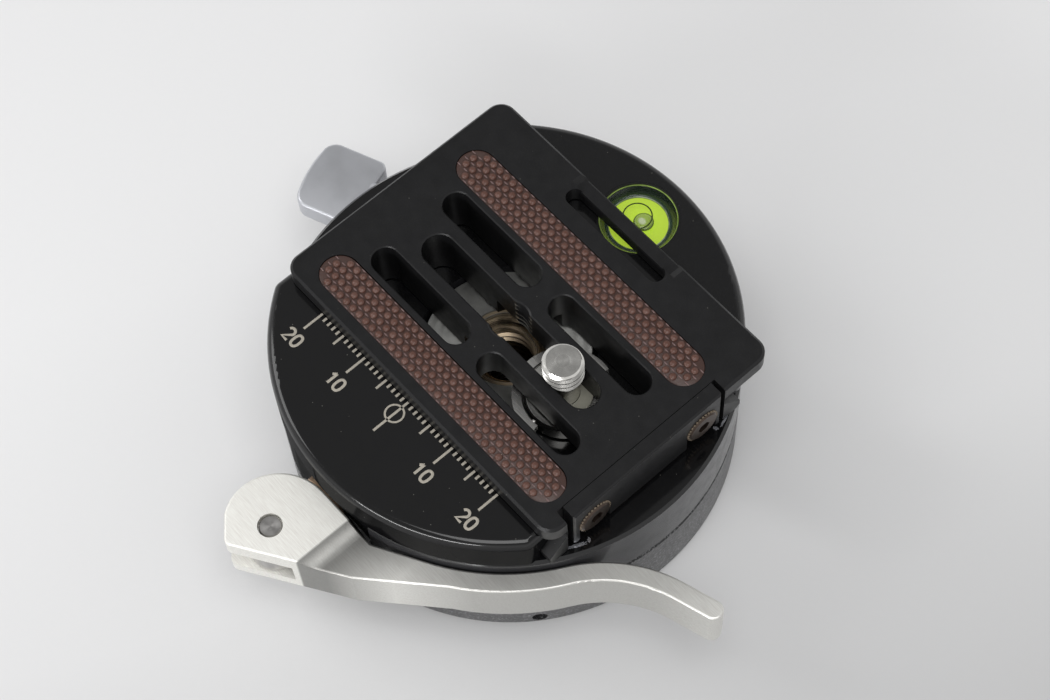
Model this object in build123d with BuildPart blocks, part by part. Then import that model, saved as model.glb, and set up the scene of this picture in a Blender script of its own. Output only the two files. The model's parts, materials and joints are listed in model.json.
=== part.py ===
from build123d import *
import os
from math import acos, atan2, cos, degrees, radians, sin, sqrt

os.makedirs("parts", exist_ok=True)

# Panning clamp with a lever and a camera plate in its channel. Millimetres, +Z up.
# The pan axis is the Z axis and the underside of the base is at z = 0.
# X runs along the channel and the lever stands on the -Y side.

# Overall sizes
disc_radius = 36.0
base_height = 12.6
turning_gap = 0.3
body_height = 11.6
jaw_height = 7.0
body_bottom = base_height + turning_gap
channel_floor = body_bottom + body_height
jaw_top = channel_floor + jaw_height

# Clearances: pressed or screwed together, turning or sliding, and free; one overrun for cuts
fit_gap = 0.03
running_gap = 0.05
free_gap = 0.3
drill_overrun = 5.0
lengthwise_share = 0.999
steep_share = 0.5

# Camera plate, from its middle outwards: screw slot, side slots, grip strips, strap window
plate_length = 60.2
plate_thickness = 10.0
plate_slide = 1.1
plate_lift = 0.3
plate_edge_chamfer = 0.4
flange_thickness = 3.0
flange_corner = 2.6
flange_rim = 2.175
screw_slot_width = 5.35
screw_slot_inset = 11.3
slot_rib = 2.175
slot_width = 4.5
slot_inner = 1.75
slot_inset = 7.65
slot_edge = 0.18
strip_rib = 1.075
strip_width = 6.45
strip_inset = 3.75
strip_recess = 0.6
strip_stand = 0.3
strip_gap = 0.02
window_rib = 2.925
window_width = 2.95
window_half = 10.4
window_corner = 1.4
strap_bar_width = 2.3
strap_bar_drop = 0.5
strap_bar_ramp = 1.0
strap_bar_edge = 0.3
plate_bottom = channel_floor + plate_lift
plate_top = plate_bottom + plate_thickness
flange_bottom = plate_top - flange_thickness
plate_back = plate_slide - plate_length / 2
plate_front = plate_slide + plate_length / 2
screw_slot_half = plate_length / 2 - screw_slot_inset
slot_outer = plate_length / 2 - slot_inset
slot_row = (screw_slot_width + slot_width) / 2 + slot_rib
strip_length = plate_length - 2 * strip_inset
strip_row = slot_row + (slot_width + strip_width) / 2 + strip_rib
flange_short = strip_row + strip_width / 2 + flange_rim
window_inner = strip_row + strip_width / 2 + window_rib
window_outer = window_inner + window_width
strap_bar_outer = window_outer + strap_bar_width

# Dovetail of the plate, and the channel that the two jaws make round it
dovetail_half = 19.0
foot_chamfer = 0.6
foot_land_height = 1.8
flank_rise = 3.4
flank_gap = 0.15
groove_gap = 0.25
waist_half = dovetail_half - flank_rise
land_top = plate_bottom + foot_land_height
waist_start = land_top + flank_rise
groove_half = dovetail_half + groove_gap
lip_half = waist_half + free_gap
flank_sum = dovetail_half + land_top + flank_gap * sqrt(2)
groove_top = flank_sum - groove_half
lip_bottom = flank_sum - lip_half

# Jaws and edges of the two discs
jaw_end_inset = 6.8
jaw_end_radius = 2.0
rim_radius = 1.4
jaw_edge = 0.3
body_edge = 0.5
base_edge = 0.8
jaw_half_length = disc_radius - jaw_end_inset
jaw_bottom = channel_floor + running_gap

# Retaining disc that holds the turning body down on the hub, and its screws
disc_hole = 6.5
retainer_radius = 13.1
retainer_thickness = 1.3
well_gap = 0.8
shelf_thickness = 1.95
washer_inset = 0.2
washer_thickness = 0.24
disc_screw_count = 3
disc_screw_angle = 29.0
disc_screw_radius = 0.9
disc_screw_head = 1.9
disc_screw_length = 4.6
disc_screw_socket = 0.6
disc_screw_socket_depth = 1.0
disc_screw_drop = 0.05
retainer_well = retainer_radius + well_gap
well_depth = retainer_thickness + washer_thickness + 2 * fit_gap + free_gap
shelf_top = channel_floor - well_depth
shelf_bottom = shelf_top - shelf_thickness
washer_outer = retainer_radius - washer_inset

# Hub, thread bush, clamp plate and its screws
hub_stem_radius = 12.9
hub_radius = 15.0
hub_neck_radius = 11.5
bush_radius = 6.35
bush_flange_radius = 8.0
bush_flange_thickness = 2.4
bush_drop = 0.5
bush_mouth = 0.3
tripod_thread_radius = 4.76
clamp_plate_radius = 17.0
clamp_plate_lift = 0.7
clamp_plate_thickness = 3.6
stem_gap = 0.1
plate_screw_count = 4
plate_screw_angle = 45.0
plate_screw_gap = 0.4
plate_screw_radius = 1.2
plate_screw_head = 2.2
plate_screw_length = 8.0
plate_screw_socket = 0.9
plate_screw_socket_depth = 1.3
hub_shoulder = shelf_bottom - running_gap
hub_top = shelf_top + washer_thickness + 2 * fit_gap
hub_bore = bush_radius + fit_gap
shelf_bore = hub_neck_radius + running_gap
bush_top = hub_top - bush_drop
clamp_plate_top = clamp_plate_lift + clamp_plate_thickness
stem_bottom = clamp_plate_top + stem_gap
plate_screw_circle = bush_flange_radius + plate_screw_head + plate_screw_gap
disc_screw_circle = (hub_bore + hub_neck_radius) / 2

# Sliding ring between the discs, and the screw in the side of the base
slide_ring_inset = 8.0
slide_ring_hub_gap = 5.0
slide_ring_depth = 0.4
grub_angle = -34.7
grub_height = 2.4
grub_radius = 1.2
grub_length = 4.0
grub_socket_radius = 0.6
grub_socket_depth = 1.5
slide_ring_outer = disc_radius - slide_ring_inset
slide_ring_inner = hub_radius + slide_ring_hub_gap

# Bubble level in the fixed jaw
level_hole = 6.5
level_wall = 1.45
level_depth = 4.8
bezel_wall = 0.3
bezel_drop = 0.05
vial_gap = 0.02
vial_drop = 0.2
vial_edge = 0.5
vial_wall = 0.9
vial_cap = 0.8
vial_base = 1.4
bubble_radius = 1.45
bubble_height = 0.5
bubble_drop = 0.1
bubble_x = 0.6
bubble_y = 0.5
level_y = groove_half + level_wall + level_hole
level_bottom = jaw_top - level_depth
vial_radius = level_hole - vial_gap - bezel_wall
vial_floor = level_bottom + bezel_wall
vial_top = jaw_top - vial_drop
fluid_radius = vial_radius - vial_gap - vial_wall
fluid_bottom = vial_floor + vial_base
fluid_top = vial_top - vial_cap

# Draw bolt with its eye, and the pin of the lever
pin_x = -1.8
pin_reach = 9.3
pin_radius = 1.75
pin_ring = 0.18
pin_drop = 0.25
bolt_rise = 5.15
bolt_radius = 2.0
bolt_wall = 1.8
bolt_end_gap = 0.4
bolt_clearance = 0.3
bolt_grub_radius = 1.25
eye_radius = 4.2
eye_height = 4.3
eye_gap = 0.1
pin_y = -disc_radius - pin_reach
bolt_z = body_bottom + bolt_rise
bolt_hole_end = -hub_radius - bolt_wall
bolt_end = bolt_hole_end - bolt_end_gap

# Cam of the lever, its bronze pad and the skirt of the moving jaw
cam_distance = 9.35
cam_range = 130.0
cam_steps = 27
cam_gap = 0.1
jaw_travel = 2.2
pad_radius = 3.9
pad_proud = 0.95
pad_depth = 3.4
pad_bore = 2.2
skirt_half = 10.0
skirt_thickness = 7.9
pocket_floor = 0.5
pad_face = -pin_y - cam_distance - cam_gap
skirt_face = pad_face - pad_proud
skirt_inner = skirt_face - skirt_thickness
pocket_inner = skirt_inner - free_gap
bolt_grub_y = (bolt_hole_end - pocket_inner) / 2
pocket_half = skirt_half + free_gap
pocket_bottom = body_bottom + pocket_floor
skirt_bottom = pocket_bottom + free_gap

# Lever: head, hollow and arm. Places on the head are given from its pin.
head_height = 9.8
arm_height = 8.8
head_flat = 11.9
head_corner_left = 2.3
head_corner_out = 6.9
head_corner_radius = 1.2
knee_right = 14.3
knee_in = 3.8
step_right = 7.15
step_reach = 3.0
slot_right = 6.3
neck_outer_angle = -54.0
arm_gap = 0.3
arm_thickness = 3.1
arm_leave_angle = -28.0
arm_sweep_radius = 21.5
arm_sweep_angle = -45.0
arm_tail = 7.2
arm_tip_radius = 1.45
lever_edge = 0.35
lever_bottom = skirt_bottom
arm_top = lever_bottom + arm_height
head_top = lever_bottom + head_height
eye_slot_height = eye_height + 2 * eye_gap
arm_inner_radius = disc_radius + arm_gap
arm_mid_radius = arm_inner_radius + arm_thickness / 2
arm_outer_radius = arm_inner_radius + arm_thickness
step_x = pin_x + step_right

# Guide pins and return springs of the moving jaw
guide_offset = 7.0
guide_radius = 1.2
guide_in_body = 6.2
guide_cover = 1.0
spring_radius = 1.7
spring_wire = 0.25
spring_turns = 4.0
spring_seat_gap = 0.2
spring_seat_depth = 4.0
guide_tip = skirt_face - guide_cover
spring_seat_radius = spring_radius + spring_wire + spring_seat_gap

# Pan lock. Places along its axis are counted from the foot of the pan axis on it.
lock_angle = 202.0
lock_rise = 4.2
shoe_stand = 2.2
shoe_radius = 3.4
shoe_half_length = 5.5
shoe_relief = 0.15
shoe_play = 0.1
shoe_room = 1.5
stud_radius = 2.0
stud_grip = 7.5
stud_short = 0.5
lock_bush_length = 9.5
lock_bush_sink = 1.1
spot_stand = 1.5
spot_face_radius = 7.1
knob_gap = 0.4
knob_length = 11.3
knob_half_width = 6.4
knob_thickness = 3.7
knob_bulge = 0.8
knob_corner = 2.4
knob_root_corner = 1.5
knob_edge = 0.5
knob_crown = 0.4
collar_radius = 3.0
lock_z = body_bottom + lock_rise
lock_offset = hub_radius + shoe_stand
lock_bore = shoe_radius + shoe_play
lock_bore_end = -shoe_half_length - shoe_room
lock_exit = sqrt(disc_radius**2 - lock_offset**2)
lock_bush_outer = lock_exit - lock_bush_sink
lock_bush_inner = lock_bush_outer - lock_bush_length
spot_face = lock_exit + spot_stand
collar_inner = lock_exit + free_gap
knob_inner = spot_face + knob_gap
knob_outer = knob_inner + knob_length
stud_inner = stud_short - shoe_half_length
stud_outer = knob_inner + stud_grip

# Camera screw, its washer and its folding ring
screw_travel_back = 10.0
screw_travel_front = 3.6
screw_end_room = 0.525
screw_thread_radius = 3.175
screw_thread_length = 3.9
screw_thread_lift = 0.1
screw_tip_chamfer = 0.5
screw_neck_gap = 0.275
screw_head_radius = 6.2
screw_head_thickness = 2.9
screw_head_edge = 0.4
coin_slot_width = 1.4
coin_slot_depth = 1.3
neck_washer_radius = 4.4
neck_washer_thickness = 0.45
neck_washer_gap = 0.1
ring_gap = 0.25
ring_width = 1.45
ring_thickness = 1.5
ring_rise = 1.6
ring_end_angle = 80.0
ring_room = 0.5
ring_pin_radius = 0.6
ring_pin_length = 0.9
ring_pin_play = 0.2
screw_neck = screw_slot_width / 2 - screw_neck_gap
screw_x = (plate_slide + screw_slot_half - screw_slot_width / 2
           - screw_travel_front - screw_end_room)
screw_thread_start = plate_top + screw_thread_lift
screw_top = screw_thread_start + screw_thread_length
screw_head_bottom = plate_bottom + free_gap
screw_head_top = screw_head_bottom + screw_head_thickness
neck_washer_bottom = screw_head_top + running_gap
neck_washer_top = neck_washer_bottom + neck_washer_thickness
ring_inner = screw_head_radius + ring_gap
ring_outer = ring_inner + ring_width
ring_z = screw_head_bottom + ring_rise
ring_pin_inner = screw_head_radius - ring_pin_length
ring_pin_hole = ring_pin_inner - ring_pin_play

# Pocket under the plate for the head of the camera screw, and the tapped hole in its slot
tapped_pitch = 1.27
tapped_depth = 0.35
tapped_play = 0.025
pocket_radius = ring_outer + ring_room
pocket_from = screw_x - screw_travel_back - free_gap
pocket_to = screw_x + screw_travel_front + free_gap
plate_pocket_top = neck_washer_top + neck_washer_gap
tapped_major = screw_thread_radius + tapped_play
tapped_minor = tapped_major - tapped_depth

# Stop bar on the end of the plate, and its screws
bar_half = 14.55
bar_middle = 0.25
bar_side_gap = 0.75
bar_thickness = 2.45
bar_proud = 0.15
bar_gap = 0.1
bar_lift = 0.4
bar_face_edge = 0.3
bar_screw_spread = 10.65
bar_screw_rise = 4.9
bar_screw_radius = 1.5
bar_screw_length = 6.0
bar_head_radius = 2.8
bar_head_height = 1.7
bar_head_room = 0.15
bar_counterbore_depth = 1.3
bar_socket_radius = 1.15
bar_socket_depth = 0.8
bar_bottom = plate_bottom + bar_lift
bar_pocket_half = bar_half + bar_middle + bar_side_gap
bar_screw_z = plate_bottom + bar_screw_rise
bar_counterbore = bar_head_radius + bar_head_room
bar_face = plate_front + bar_proud
bar_seat = bar_face - bar_thickness - bar_gap


def around(count, radius, first):
    """Places on a circle about the pan axis, the first one at an angle in degrees."""
    return [(radius * cos(radians(first + 360 * i / count)),
             radius * sin(radians(first + 360 * i / count))) for i in range(count)]


# Fixed base
with BuildPart() as base_disc:
    with BuildSketch(Plane.XY):
        Circle(disc_radius)
    extrude(amount=base_height)
    chamfer(base_disc.edges().group_by(Axis.Z)[0], length=base_edge)
    chamfer(base_disc.edges().group_by(Axis.Z)[-1], length=body_edge)
    with BuildSketch(Plane.XY):
        Circle(clamp_plate_radius + fit_gap)
    extrude(amount=clamp_plate_top + fit_gap, mode=Mode.SUBTRACT)
    with BuildSketch(Plane.XY):
        Circle(hub_stem_radius + fit_gap)
    extrude(amount=base_height, mode=Mode.SUBTRACT)
    with BuildSketch(Plane.XY.offset(base_height)):
        Circle(slide_ring_outer + fit_gap)
        Circle(slide_ring_inner - fit_gap, mode=Mode.SUBTRACT)
    extrude(amount=-slide_ring_depth, mode=Mode.SUBTRACT)
    grub_plane = Plane(origin=(0, 0, grub_height),
                       x_dir=(-sin(radians(grub_angle)), cos(radians(grub_angle)), 0),
                       z_dir=(cos(radians(grub_angle)), sin(radians(grub_angle)), 0))
    with BuildSketch(grub_plane.offset(clamp_plate_radius)):
        Circle(grub_radius + fit_gap)
    extrude(amount=disc_radius, mode=Mode.SUBTRACT)
base_disc.part.label = "base_disc"
export_step(base_disc.part, "parts/base_disc.step")

# Screw in the side of the base that keeps the clamp plate from turning
with BuildPart() as base_grub:
    with BuildSketch(grub_plane.offset(clamp_plate_radius + fit_gap)):
        Circle(grub_radius)
    extrude(amount=grub_length)
    with BuildSketch(grub_plane.offset(clamp_plate_radius + fit_gap + grub_length)):
        RegularPolygon(grub_socket_radius, 6)
    extrude(amount=-grub_socket_depth, mode=Mode.SUBTRACT)
base_grub.part.label = "base_grub"
export_step(base_grub.part, "parts/base_grub.step")

# Hub on which the body turns
with BuildPart() as hub:
    with BuildSketch(Plane.XZ):
        with BuildLine():
            Polyline((hub_bore, stem_bottom), (hub_stem_radius, stem_bottom),
                     (hub_stem_radius, base_height), (hub_radius, base_height),
                     (hub_radius, hub_shoulder), (hub_neck_radius, hub_shoulder),
                     (hub_neck_radius, hub_top), (hub_bore, hub_top), close=True)
        make_face()
    revolve(axis=Axis.Z)
    with BuildSketch(Plane.XY.offset(stem_bottom)):
        with Locations(*around(plate_screw_count, plate_screw_circle, plate_screw_angle)):
            Circle(plate_screw_radius + fit_gap)
    extrude(amount=plate_screw_length, mode=Mode.SUBTRACT)
    with BuildSketch(Plane.XY.offset(hub_top)):
        with Locations(*around(disc_screw_count, disc_screw_circle, disc_screw_angle)):
            Circle(disc_screw_radius + fit_gap)
    extrude(amount=-disc_screw_length - free_gap, mode=Mode.SUBTRACT)
hub.part.label = "hub"
export_step(hub.part, "parts/hub.step")

# Plate under the base that pulls the hub down
with BuildPart() as clamp_plate:
    with BuildSketch(Plane.XY.offset(clamp_plate_lift)):
        Circle(clamp_plate_radius)
        Circle(bush_radius + fit_gap, mode=Mode.SUBTRACT)
    extrude(amount=clamp_plate_thickness)
    with BuildSketch(Plane.XY.offset(clamp_plate_lift)):
        Circle(bush_flange_radius + fit_gap)
    extrude(amount=bush_flange_thickness + fit_gap - clamp_plate_lift, mode=Mode.SUBTRACT)
    with Locations(*[Location((x, y, clamp_plate_lift), (180, 0, 0))
                     for x, y in around(plate_screw_count, plate_screw_circle, plate_screw_angle)]):
        CounterSinkHole(plate_screw_radius + fit_gap, plate_screw_head + 2 * fit_gap,
                        counter_sink_angle=90)
clamp_plate.part.label = "clamp_plate"
export_step(clamp_plate.part, "parts/clamp_plate.step")

# Four countersunk screws of the clamp plate
head_cone = plate_screw_head - plate_screw_radius
with BuildPart() as clamp_plate_screws:
    with BuildPart(mode=Mode.PRIVATE) as plate_screw:
        with BuildSketch(Plane.XZ):
            with BuildLine():
                Polyline((0, 0), (plate_screw_head, 0), (plate_screw_radius, head_cone),
                         (plate_screw_radius, plate_screw_length), (0, plate_screw_length), close=True)
            make_face()
        revolve(axis=Axis.Z)
        with BuildSketch(Plane.XY):
            RegularPolygon(plate_screw_socket, 6)
        extrude(amount=plate_screw_socket_depth, mode=Mode.SUBTRACT)
    with Locations(*[Location((x, y, clamp_plate_lift + fit_gap))
                     for x, y in around(plate_screw_count, plate_screw_circle, plate_screw_angle)]):
        add(plate_screw.part)
clamp_plate_screws.part.label = "clamp_plate_screws"
export_step(clamp_plate_screws.part, "parts/clamp_plate_screws.step")

# Brass bush with the tripod thread
with BuildPart() as thread_bush:
    with BuildSketch(Plane.XZ):
        with BuildLine():
            Polyline((tripod_thread_radius, 0), (bush_flange_radius, 0),
                     (bush_flange_radius, bush_flange_thickness), (bush_radius, bush_flange_thickness),
                     (bush_radius, bush_top), (tripod_thread_radius, bush_top), close=True)
        make_face()
    revolve(axis=Axis.Z)
    chamfer(thread_bush.edges().group_by(Axis.Z)[-1], length=bush_mouth)
thread_bush.part.label = "thread_bush"
export_step(thread_bush.part, "parts/thread_bush.step")

# Plastic ring on which the body slides
with BuildPart() as slide_ring:
    with BuildSketch(Plane.XY.offset(base_height - slide_ring_depth + fit_gap)):
        Circle(slide_ring_outer)
        Circle(slide_ring_inner, mode=Mode.SUBTRACT)
    extrude(amount=slide_ring_depth + turning_gap - 2 * fit_gap)
slide_ring.part.label = "slide_ring"
export_step(slide_ring.part, "parts/slide_ring.step")

# Disc that holds the body down, with its screws
with BuildPart() as retaining_disc:
    with BuildSketch(Plane.XY.offset(hub_top)):
        Circle(retainer_radius)
        Circle(disc_hole, mode=Mode.SUBTRACT)
    extrude(amount=retainer_thickness)
    chamfer(retaining_disc.edges().group_by(Axis.Z)[-1], length=jaw_edge / 2)
    with Locations(*[Location((x, y, hub_top + retainer_thickness))
                     for x, y in around(disc_screw_count, disc_screw_circle, disc_screw_angle)]):
        CounterSinkHole(disc_screw_radius + fit_gap, disc_screw_head + disc_screw_drop + fit_gap,
                        counter_sink_angle=90)
retaining_disc.part.label = "retaining_disc"
export_step(retaining_disc.part, "parts/retaining_disc.step")

disc_cone = disc_screw_head - disc_screw_radius
with BuildPart() as disc_screws:
    with BuildPart(mode=Mode.PRIVATE) as disc_screw:
        with BuildSketch(Plane.XZ):
            with BuildLine():
                Polyline((0, 0), (disc_screw_head, 0), (disc_screw_radius, -disc_cone),
                         (disc_screw_radius, -disc_screw_length), (0, -disc_screw_length), close=True)
            make_face()
        revolve(axis=Axis.Z)
        with BuildSketch(Plane.XY):
            RegularPolygon(disc_screw_socket, 6)
        extrude(amount=-disc_screw_socket_depth, mode=Mode.SUBTRACT)
    with Locations(*[Location((x, y, hub_top + retainer_thickness - disc_screw_drop))
                     for x, y in around(disc_screw_count, disc_screw_circle, disc_screw_angle)]):
        add(disc_screw.part)
disc_screws.part.label = "disc_screws"
export_step(disc_screws.part, "parts/disc_screws.step")

with BuildPart() as thrust_washer:
    with BuildSketch(Plane.XY.offset(shelf_top + fit_gap)):
        Circle(washer_outer)
        Circle(shelf_bore, mode=Mode.SUBTRACT)
    extrude(amount=washer_thickness)
thrust_washer.part.label = "thrust_washer"
export_step(thrust_washer.part, "parts/thrust_washer.step")

# Frame of the pan lock: its screw lies across the body, beside the hub
lock_dir = (cos(radians(lock_angle)), sin(radians(lock_angle)), 0)
lock_foot = (lock_offset * cos(radians(lock_angle - 90)),
             lock_offset * sin(radians(lock_angle - 90)), lock_z)
lock_plane = Plane(origin=lock_foot, x_dir=(-lock_dir[1], lock_dir[0], 0), z_dir=lock_dir)

# Frames of the draw bolt and the guide pins, which run along Y
bolt_plane = Plane(origin=(pin_x, 0, bolt_z), x_dir=(1, 0, 0), z_dir=(0, -1, 0))
guide_places = [(-guide_offset, 0), (guide_offset, 0)]

def jaw_outline(side, height):
    """Plan of a jaw: a segment of the disc, cut flat at both ends; side is 1 or -1."""
    with BuildSketch(Plane.XY.offset(height)) as outline:
        Circle(disc_radius)
        with Locations((0, side * (lip_half + disc_radius))):
            Rectangle(2 * jaw_half_length, 2 * disc_radius, mode=Mode.INTERSECT)
        corners = [v for v in outline.vertices() if abs(v.Y) > lip_half + free_gap]
        fillet(corners, radius=jaw_end_radius)
    return outline.sketch


def rim_edges(solid):
    """Upper edges of a jaw, without the one along its lip."""
    return [e for e in solid.edges().group_by(Axis.Z)[-1] if abs(e.center().Y) > lip_half + fit_gap]


def groove_profile(side, floor):
    """Section of one half of the channel, open towards the other side of the body."""
    with BuildSketch(Plane.YZ.offset(-disc_radius)) as profile:
        with BuildLine():
            Polyline((-side * (disc_radius + drill_overrun), floor), (side * groove_half, floor),
                     (side * groove_half, groove_top), (side * lip_half, lip_bottom),
                     (side * lip_half, jaw_top + drill_overrun),
                     (-side * (disc_radius + drill_overrun), jaw_top + drill_overrun), close=True)
        make_face()
    return profile.sketch


# Turning body with the fixed jaw in one piece
with BuildPart() as pan_body:
    extrude(to_extrude=jaw_outline(1, channel_floor - body_edge), amount=jaw_top - channel_floor + body_edge)
    fillet(rim_edges(pan_body), radius=rim_radius)
    extrude(to_extrude=groove_profile(1, channel_floor), amount=2 * disc_radius, mode=Mode.SUBTRACT)
    with BuildPart(mode=Mode.PRIVATE) as lower_disc:
        with BuildSketch(Plane.XY.offset(body_bottom)):
            Circle(disc_radius)
        extrude(amount=body_height)
        chamfer(lower_disc.edges().group_by(Axis.Z)[-1], length=body_edge)
        chamfer(lower_disc.edges().group_by(Axis.Z)[0], length=jaw_edge)
    add(lower_disc.part)
    # Well of the retaining disc, shelf and bore of the hub
    with BuildSketch(Plane.XY.offset(channel_floor)):
        Circle(retainer_well)
    extrude(amount=-well_depth, mode=Mode.SUBTRACT)
    with BuildSketch(Plane.XY.offset(body_bottom)):
        Circle(shelf_bore)
    extrude(amount=body_height, mode=Mode.SUBTRACT)
    with BuildSketch(Plane.XY.offset(body_bottom)):
        Circle(hub_radius + running_gap)
    extrude(amount=shelf_bottom - body_bottom, mode=Mode.SUBTRACT)
    # Hole of the bubble level
    with BuildSketch(Plane.XY.offset(jaw_top)):
        with Locations((0, level_y)):
            Circle(level_hole)
    extrude(amount=-level_depth, mode=Mode.SUBTRACT)
    # Pocket of the skirt, then the holes of the draw bolt, guide pins and bolt screw
    with BuildSketch(Plane.XY.offset(pocket_bottom)):
        with Locations((pin_x, -pocket_inner - disc_radius / 2)):
            Rectangle(2 * pocket_half, disc_radius)
    extrude(amount=channel_floor - pocket_bottom, mode=Mode.SUBTRACT)
    with BuildSketch(bolt_plane.offset(-bolt_hole_end)):
        Circle(bolt_radius + fit_gap)
    extrude(amount=pocket_inner + bolt_hole_end, mode=Mode.SUBTRACT)
    with BuildSketch(bolt_plane.offset(pocket_inner - guide_in_body)):
        with Locations(*guide_places):
            Circle(guide_radius + fit_gap)
    extrude(amount=guide_in_body, mode=Mode.SUBTRACT)
    with BuildSketch(Plane.XY.offset(body_bottom)):
        with Locations((pin_x, bolt_grub_y)):
            Circle(bolt_grub_radius + fit_gap)
    extrude(amount=bolt_z - body_bottom, mode=Mode.SUBTRACT)
    # Bore of the pan lock and the flat round it
    with BuildSketch(lock_plane.offset(lock_bore_end)):
        Circle(lock_bore)
    extrude(amount=disc_radius - lock_bore_end, mode=Mode.SUBTRACT)
    with BuildSketch(lock_plane.offset(spot_face)):
        Circle(spot_face_radius)
    extrude(amount=disc_radius, mode=Mode.SUBTRACT)
pan_body.part.label = "pan_body"
export_step(pan_body.part, "parts/pan_body.step")

# Bubble level
with BuildPart() as level_bezel:
    with BuildSketch(Plane.XY.offset(level_bottom + vial_gap)):
        with Locations((0, level_y)):
            Circle(level_hole - vial_gap)
    extrude(amount=jaw_top - bezel_drop - level_bottom - vial_gap)
    with BuildSketch(Plane.XY.offset(vial_floor)):
        with Locations((0, level_y)):
            Circle(vial_radius)
    extrude(amount=jaw_top - vial_floor, mode=Mode.SUBTRACT)
level_bezel.part.label = "level_bezel"
export_step(level_bezel.part, "parts/level_bezel.step")

with BuildPart() as level_vial:
    with BuildSketch(Plane.XY.offset(vial_floor + vial_gap)):
        with Locations((0, level_y)):
            Circle(vial_radius - vial_gap)
    extrude(amount=vial_top - vial_floor - vial_gap)
    fillet(level_vial.edges().group_by(Axis.Z)[-1], radius=vial_edge)
    with BuildSketch(Plane.XY.offset(fluid_bottom)):
        with Locations((0, level_y)):
            Circle(fluid_radius)
    extrude(amount=fluid_top - fluid_bottom, mode=Mode.SUBTRACT)
level_vial.part.label = "level_vial"
export_step(level_vial.part, "parts/level_vial.step")

with BuildPart() as level_fluid:
    with BuildSketch(Plane.XY.offset(fluid_bottom + vial_gap)):
        with Locations((0, level_y)):
            Circle(fluid_radius - vial_gap)
    extrude(amount=fluid_top - fluid_bottom - 2 * vial_gap)
    with BuildSketch(Plane.XY.offset(fluid_top)):
        with Locations((bubble_x, level_y + bubble_y)):
            Circle(bubble_radius + vial_gap)
    extrude(amount=-bubble_drop - bubble_height - vial_gap, mode=Mode.SUBTRACT)
level_fluid.part.label = "level_fluid"
export_step(level_fluid.part, "parts/level_fluid.step")

# Moving jaw with its skirt
with BuildPart() as moving_jaw:
    extrude(to_extrude=jaw_outline(-1, jaw_bottom), amount=jaw_top - jaw_bottom)
    fillet(rim_edges(moving_jaw), radius=rim_radius)
    extrude(to_extrude=groove_profile(-1, jaw_bottom - drill_overrun), amount=2 * disc_radius,
            mode=Mode.SUBTRACT)
    # Skirt: the outer face is flat where the cam works and round at its sides
    with BuildSketch(Plane.XY.offset(skirt_bottom)):
        Circle(disc_radius)
        with Locations((pin_x, -(skirt_inner + skirt_face) / 2)):
            Rectangle(2 * skirt_half, skirt_face - skirt_inner, mode=Mode.INTERSECT)
    extrude(amount=jaw_bottom + rim_radius - skirt_bottom)
    with BuildSketch(bolt_plane.offset(skirt_inner - fit_gap)):
        Circle(bolt_radius + bolt_clearance)
    extrude(amount=skirt_face, mode=Mode.SUBTRACT)
    with BuildSketch(bolt_plane.offset(skirt_face - pad_depth)):
        Circle(pad_radius + fit_gap)
    extrude(amount=drill_overrun, mode=Mode.SUBTRACT)
    with BuildSketch(bolt_plane.offset(skirt_inner - fit_gap)):
        with Locations(*guide_places):
            Circle(guide_radius + running_gap)
    extrude(amount=guide_tip + free_gap - skirt_inner, mode=Mode.SUBTRACT)
    with BuildSketch(bolt_plane.offset(skirt_inner - fit_gap)):
        with Locations(*guide_places):
            Circle(spring_seat_radius)
    extrude(amount=spring_seat_depth + fit_gap, mode=Mode.SUBTRACT)
moving_jaw.part.label = "moving_jaw"
export_step(moving_jaw.part, "parts/moving_jaw.step")

# Bronze pad on which the cam presses
with BuildPart() as cam_pad:
    with BuildSketch(bolt_plane.offset(skirt_face - pad_depth)):
        Circle(pad_radius)
        Circle(pad_bore, mode=Mode.SUBTRACT)
    extrude(amount=pad_face - skirt_face + pad_depth)
    chamfer(cam_pad.edges().group_by(Axis.Y)[0], length=jaw_edge / 2)
cam_pad.part.label = "cam_pad"
export_step(cam_pad.part, "parts/cam_pad.step")

with BuildPart() as guide_pins:
    with BuildSketch(bolt_plane.offset(pocket_inner - guide_in_body + fit_gap)):
        with Locations(*guide_places):
            Circle(guide_radius)
    extrude(amount=guide_tip - pocket_inner + guide_in_body - fit_gap)
    chamfer(guide_pins.edges().group_by(Axis.Y)[0], length=jaw_edge)
guide_pins.part.label = "guide_pins"
export_step(guide_pins.part, "parts/guide_pins.step")

# Return springs round the guide pins
spring_room = skirt_inner + spring_seat_depth - pocket_inner
spring_run = spring_room - 2 * spring_wire - 2 * fit_gap
spring_pitch = spring_run / spring_turns
with BuildPart() as jaw_springs:
    for place in guide_places:
        spring_start = (pin_x + place[0], -pocket_inner - spring_wire - fit_gap, bolt_z)
        with BuildLine():
            coil = Helix(spring_pitch, spring_run, spring_radius, center=spring_start,
                         direction=(0, -1, 0))
        with BuildSketch(Plane(origin=coil @ 0, z_dir=coil % 0)):
            Circle(spring_wire)
        sweep(path=coil, is_frenet=True)
jaw_springs.part.label = "jaw_springs"
export_step(jaw_springs.part, "parts/jaw_springs.step")
print("least gap between the turns of a jaw spring", round(spring_pitch - 2 * spring_wire, 2))

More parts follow.
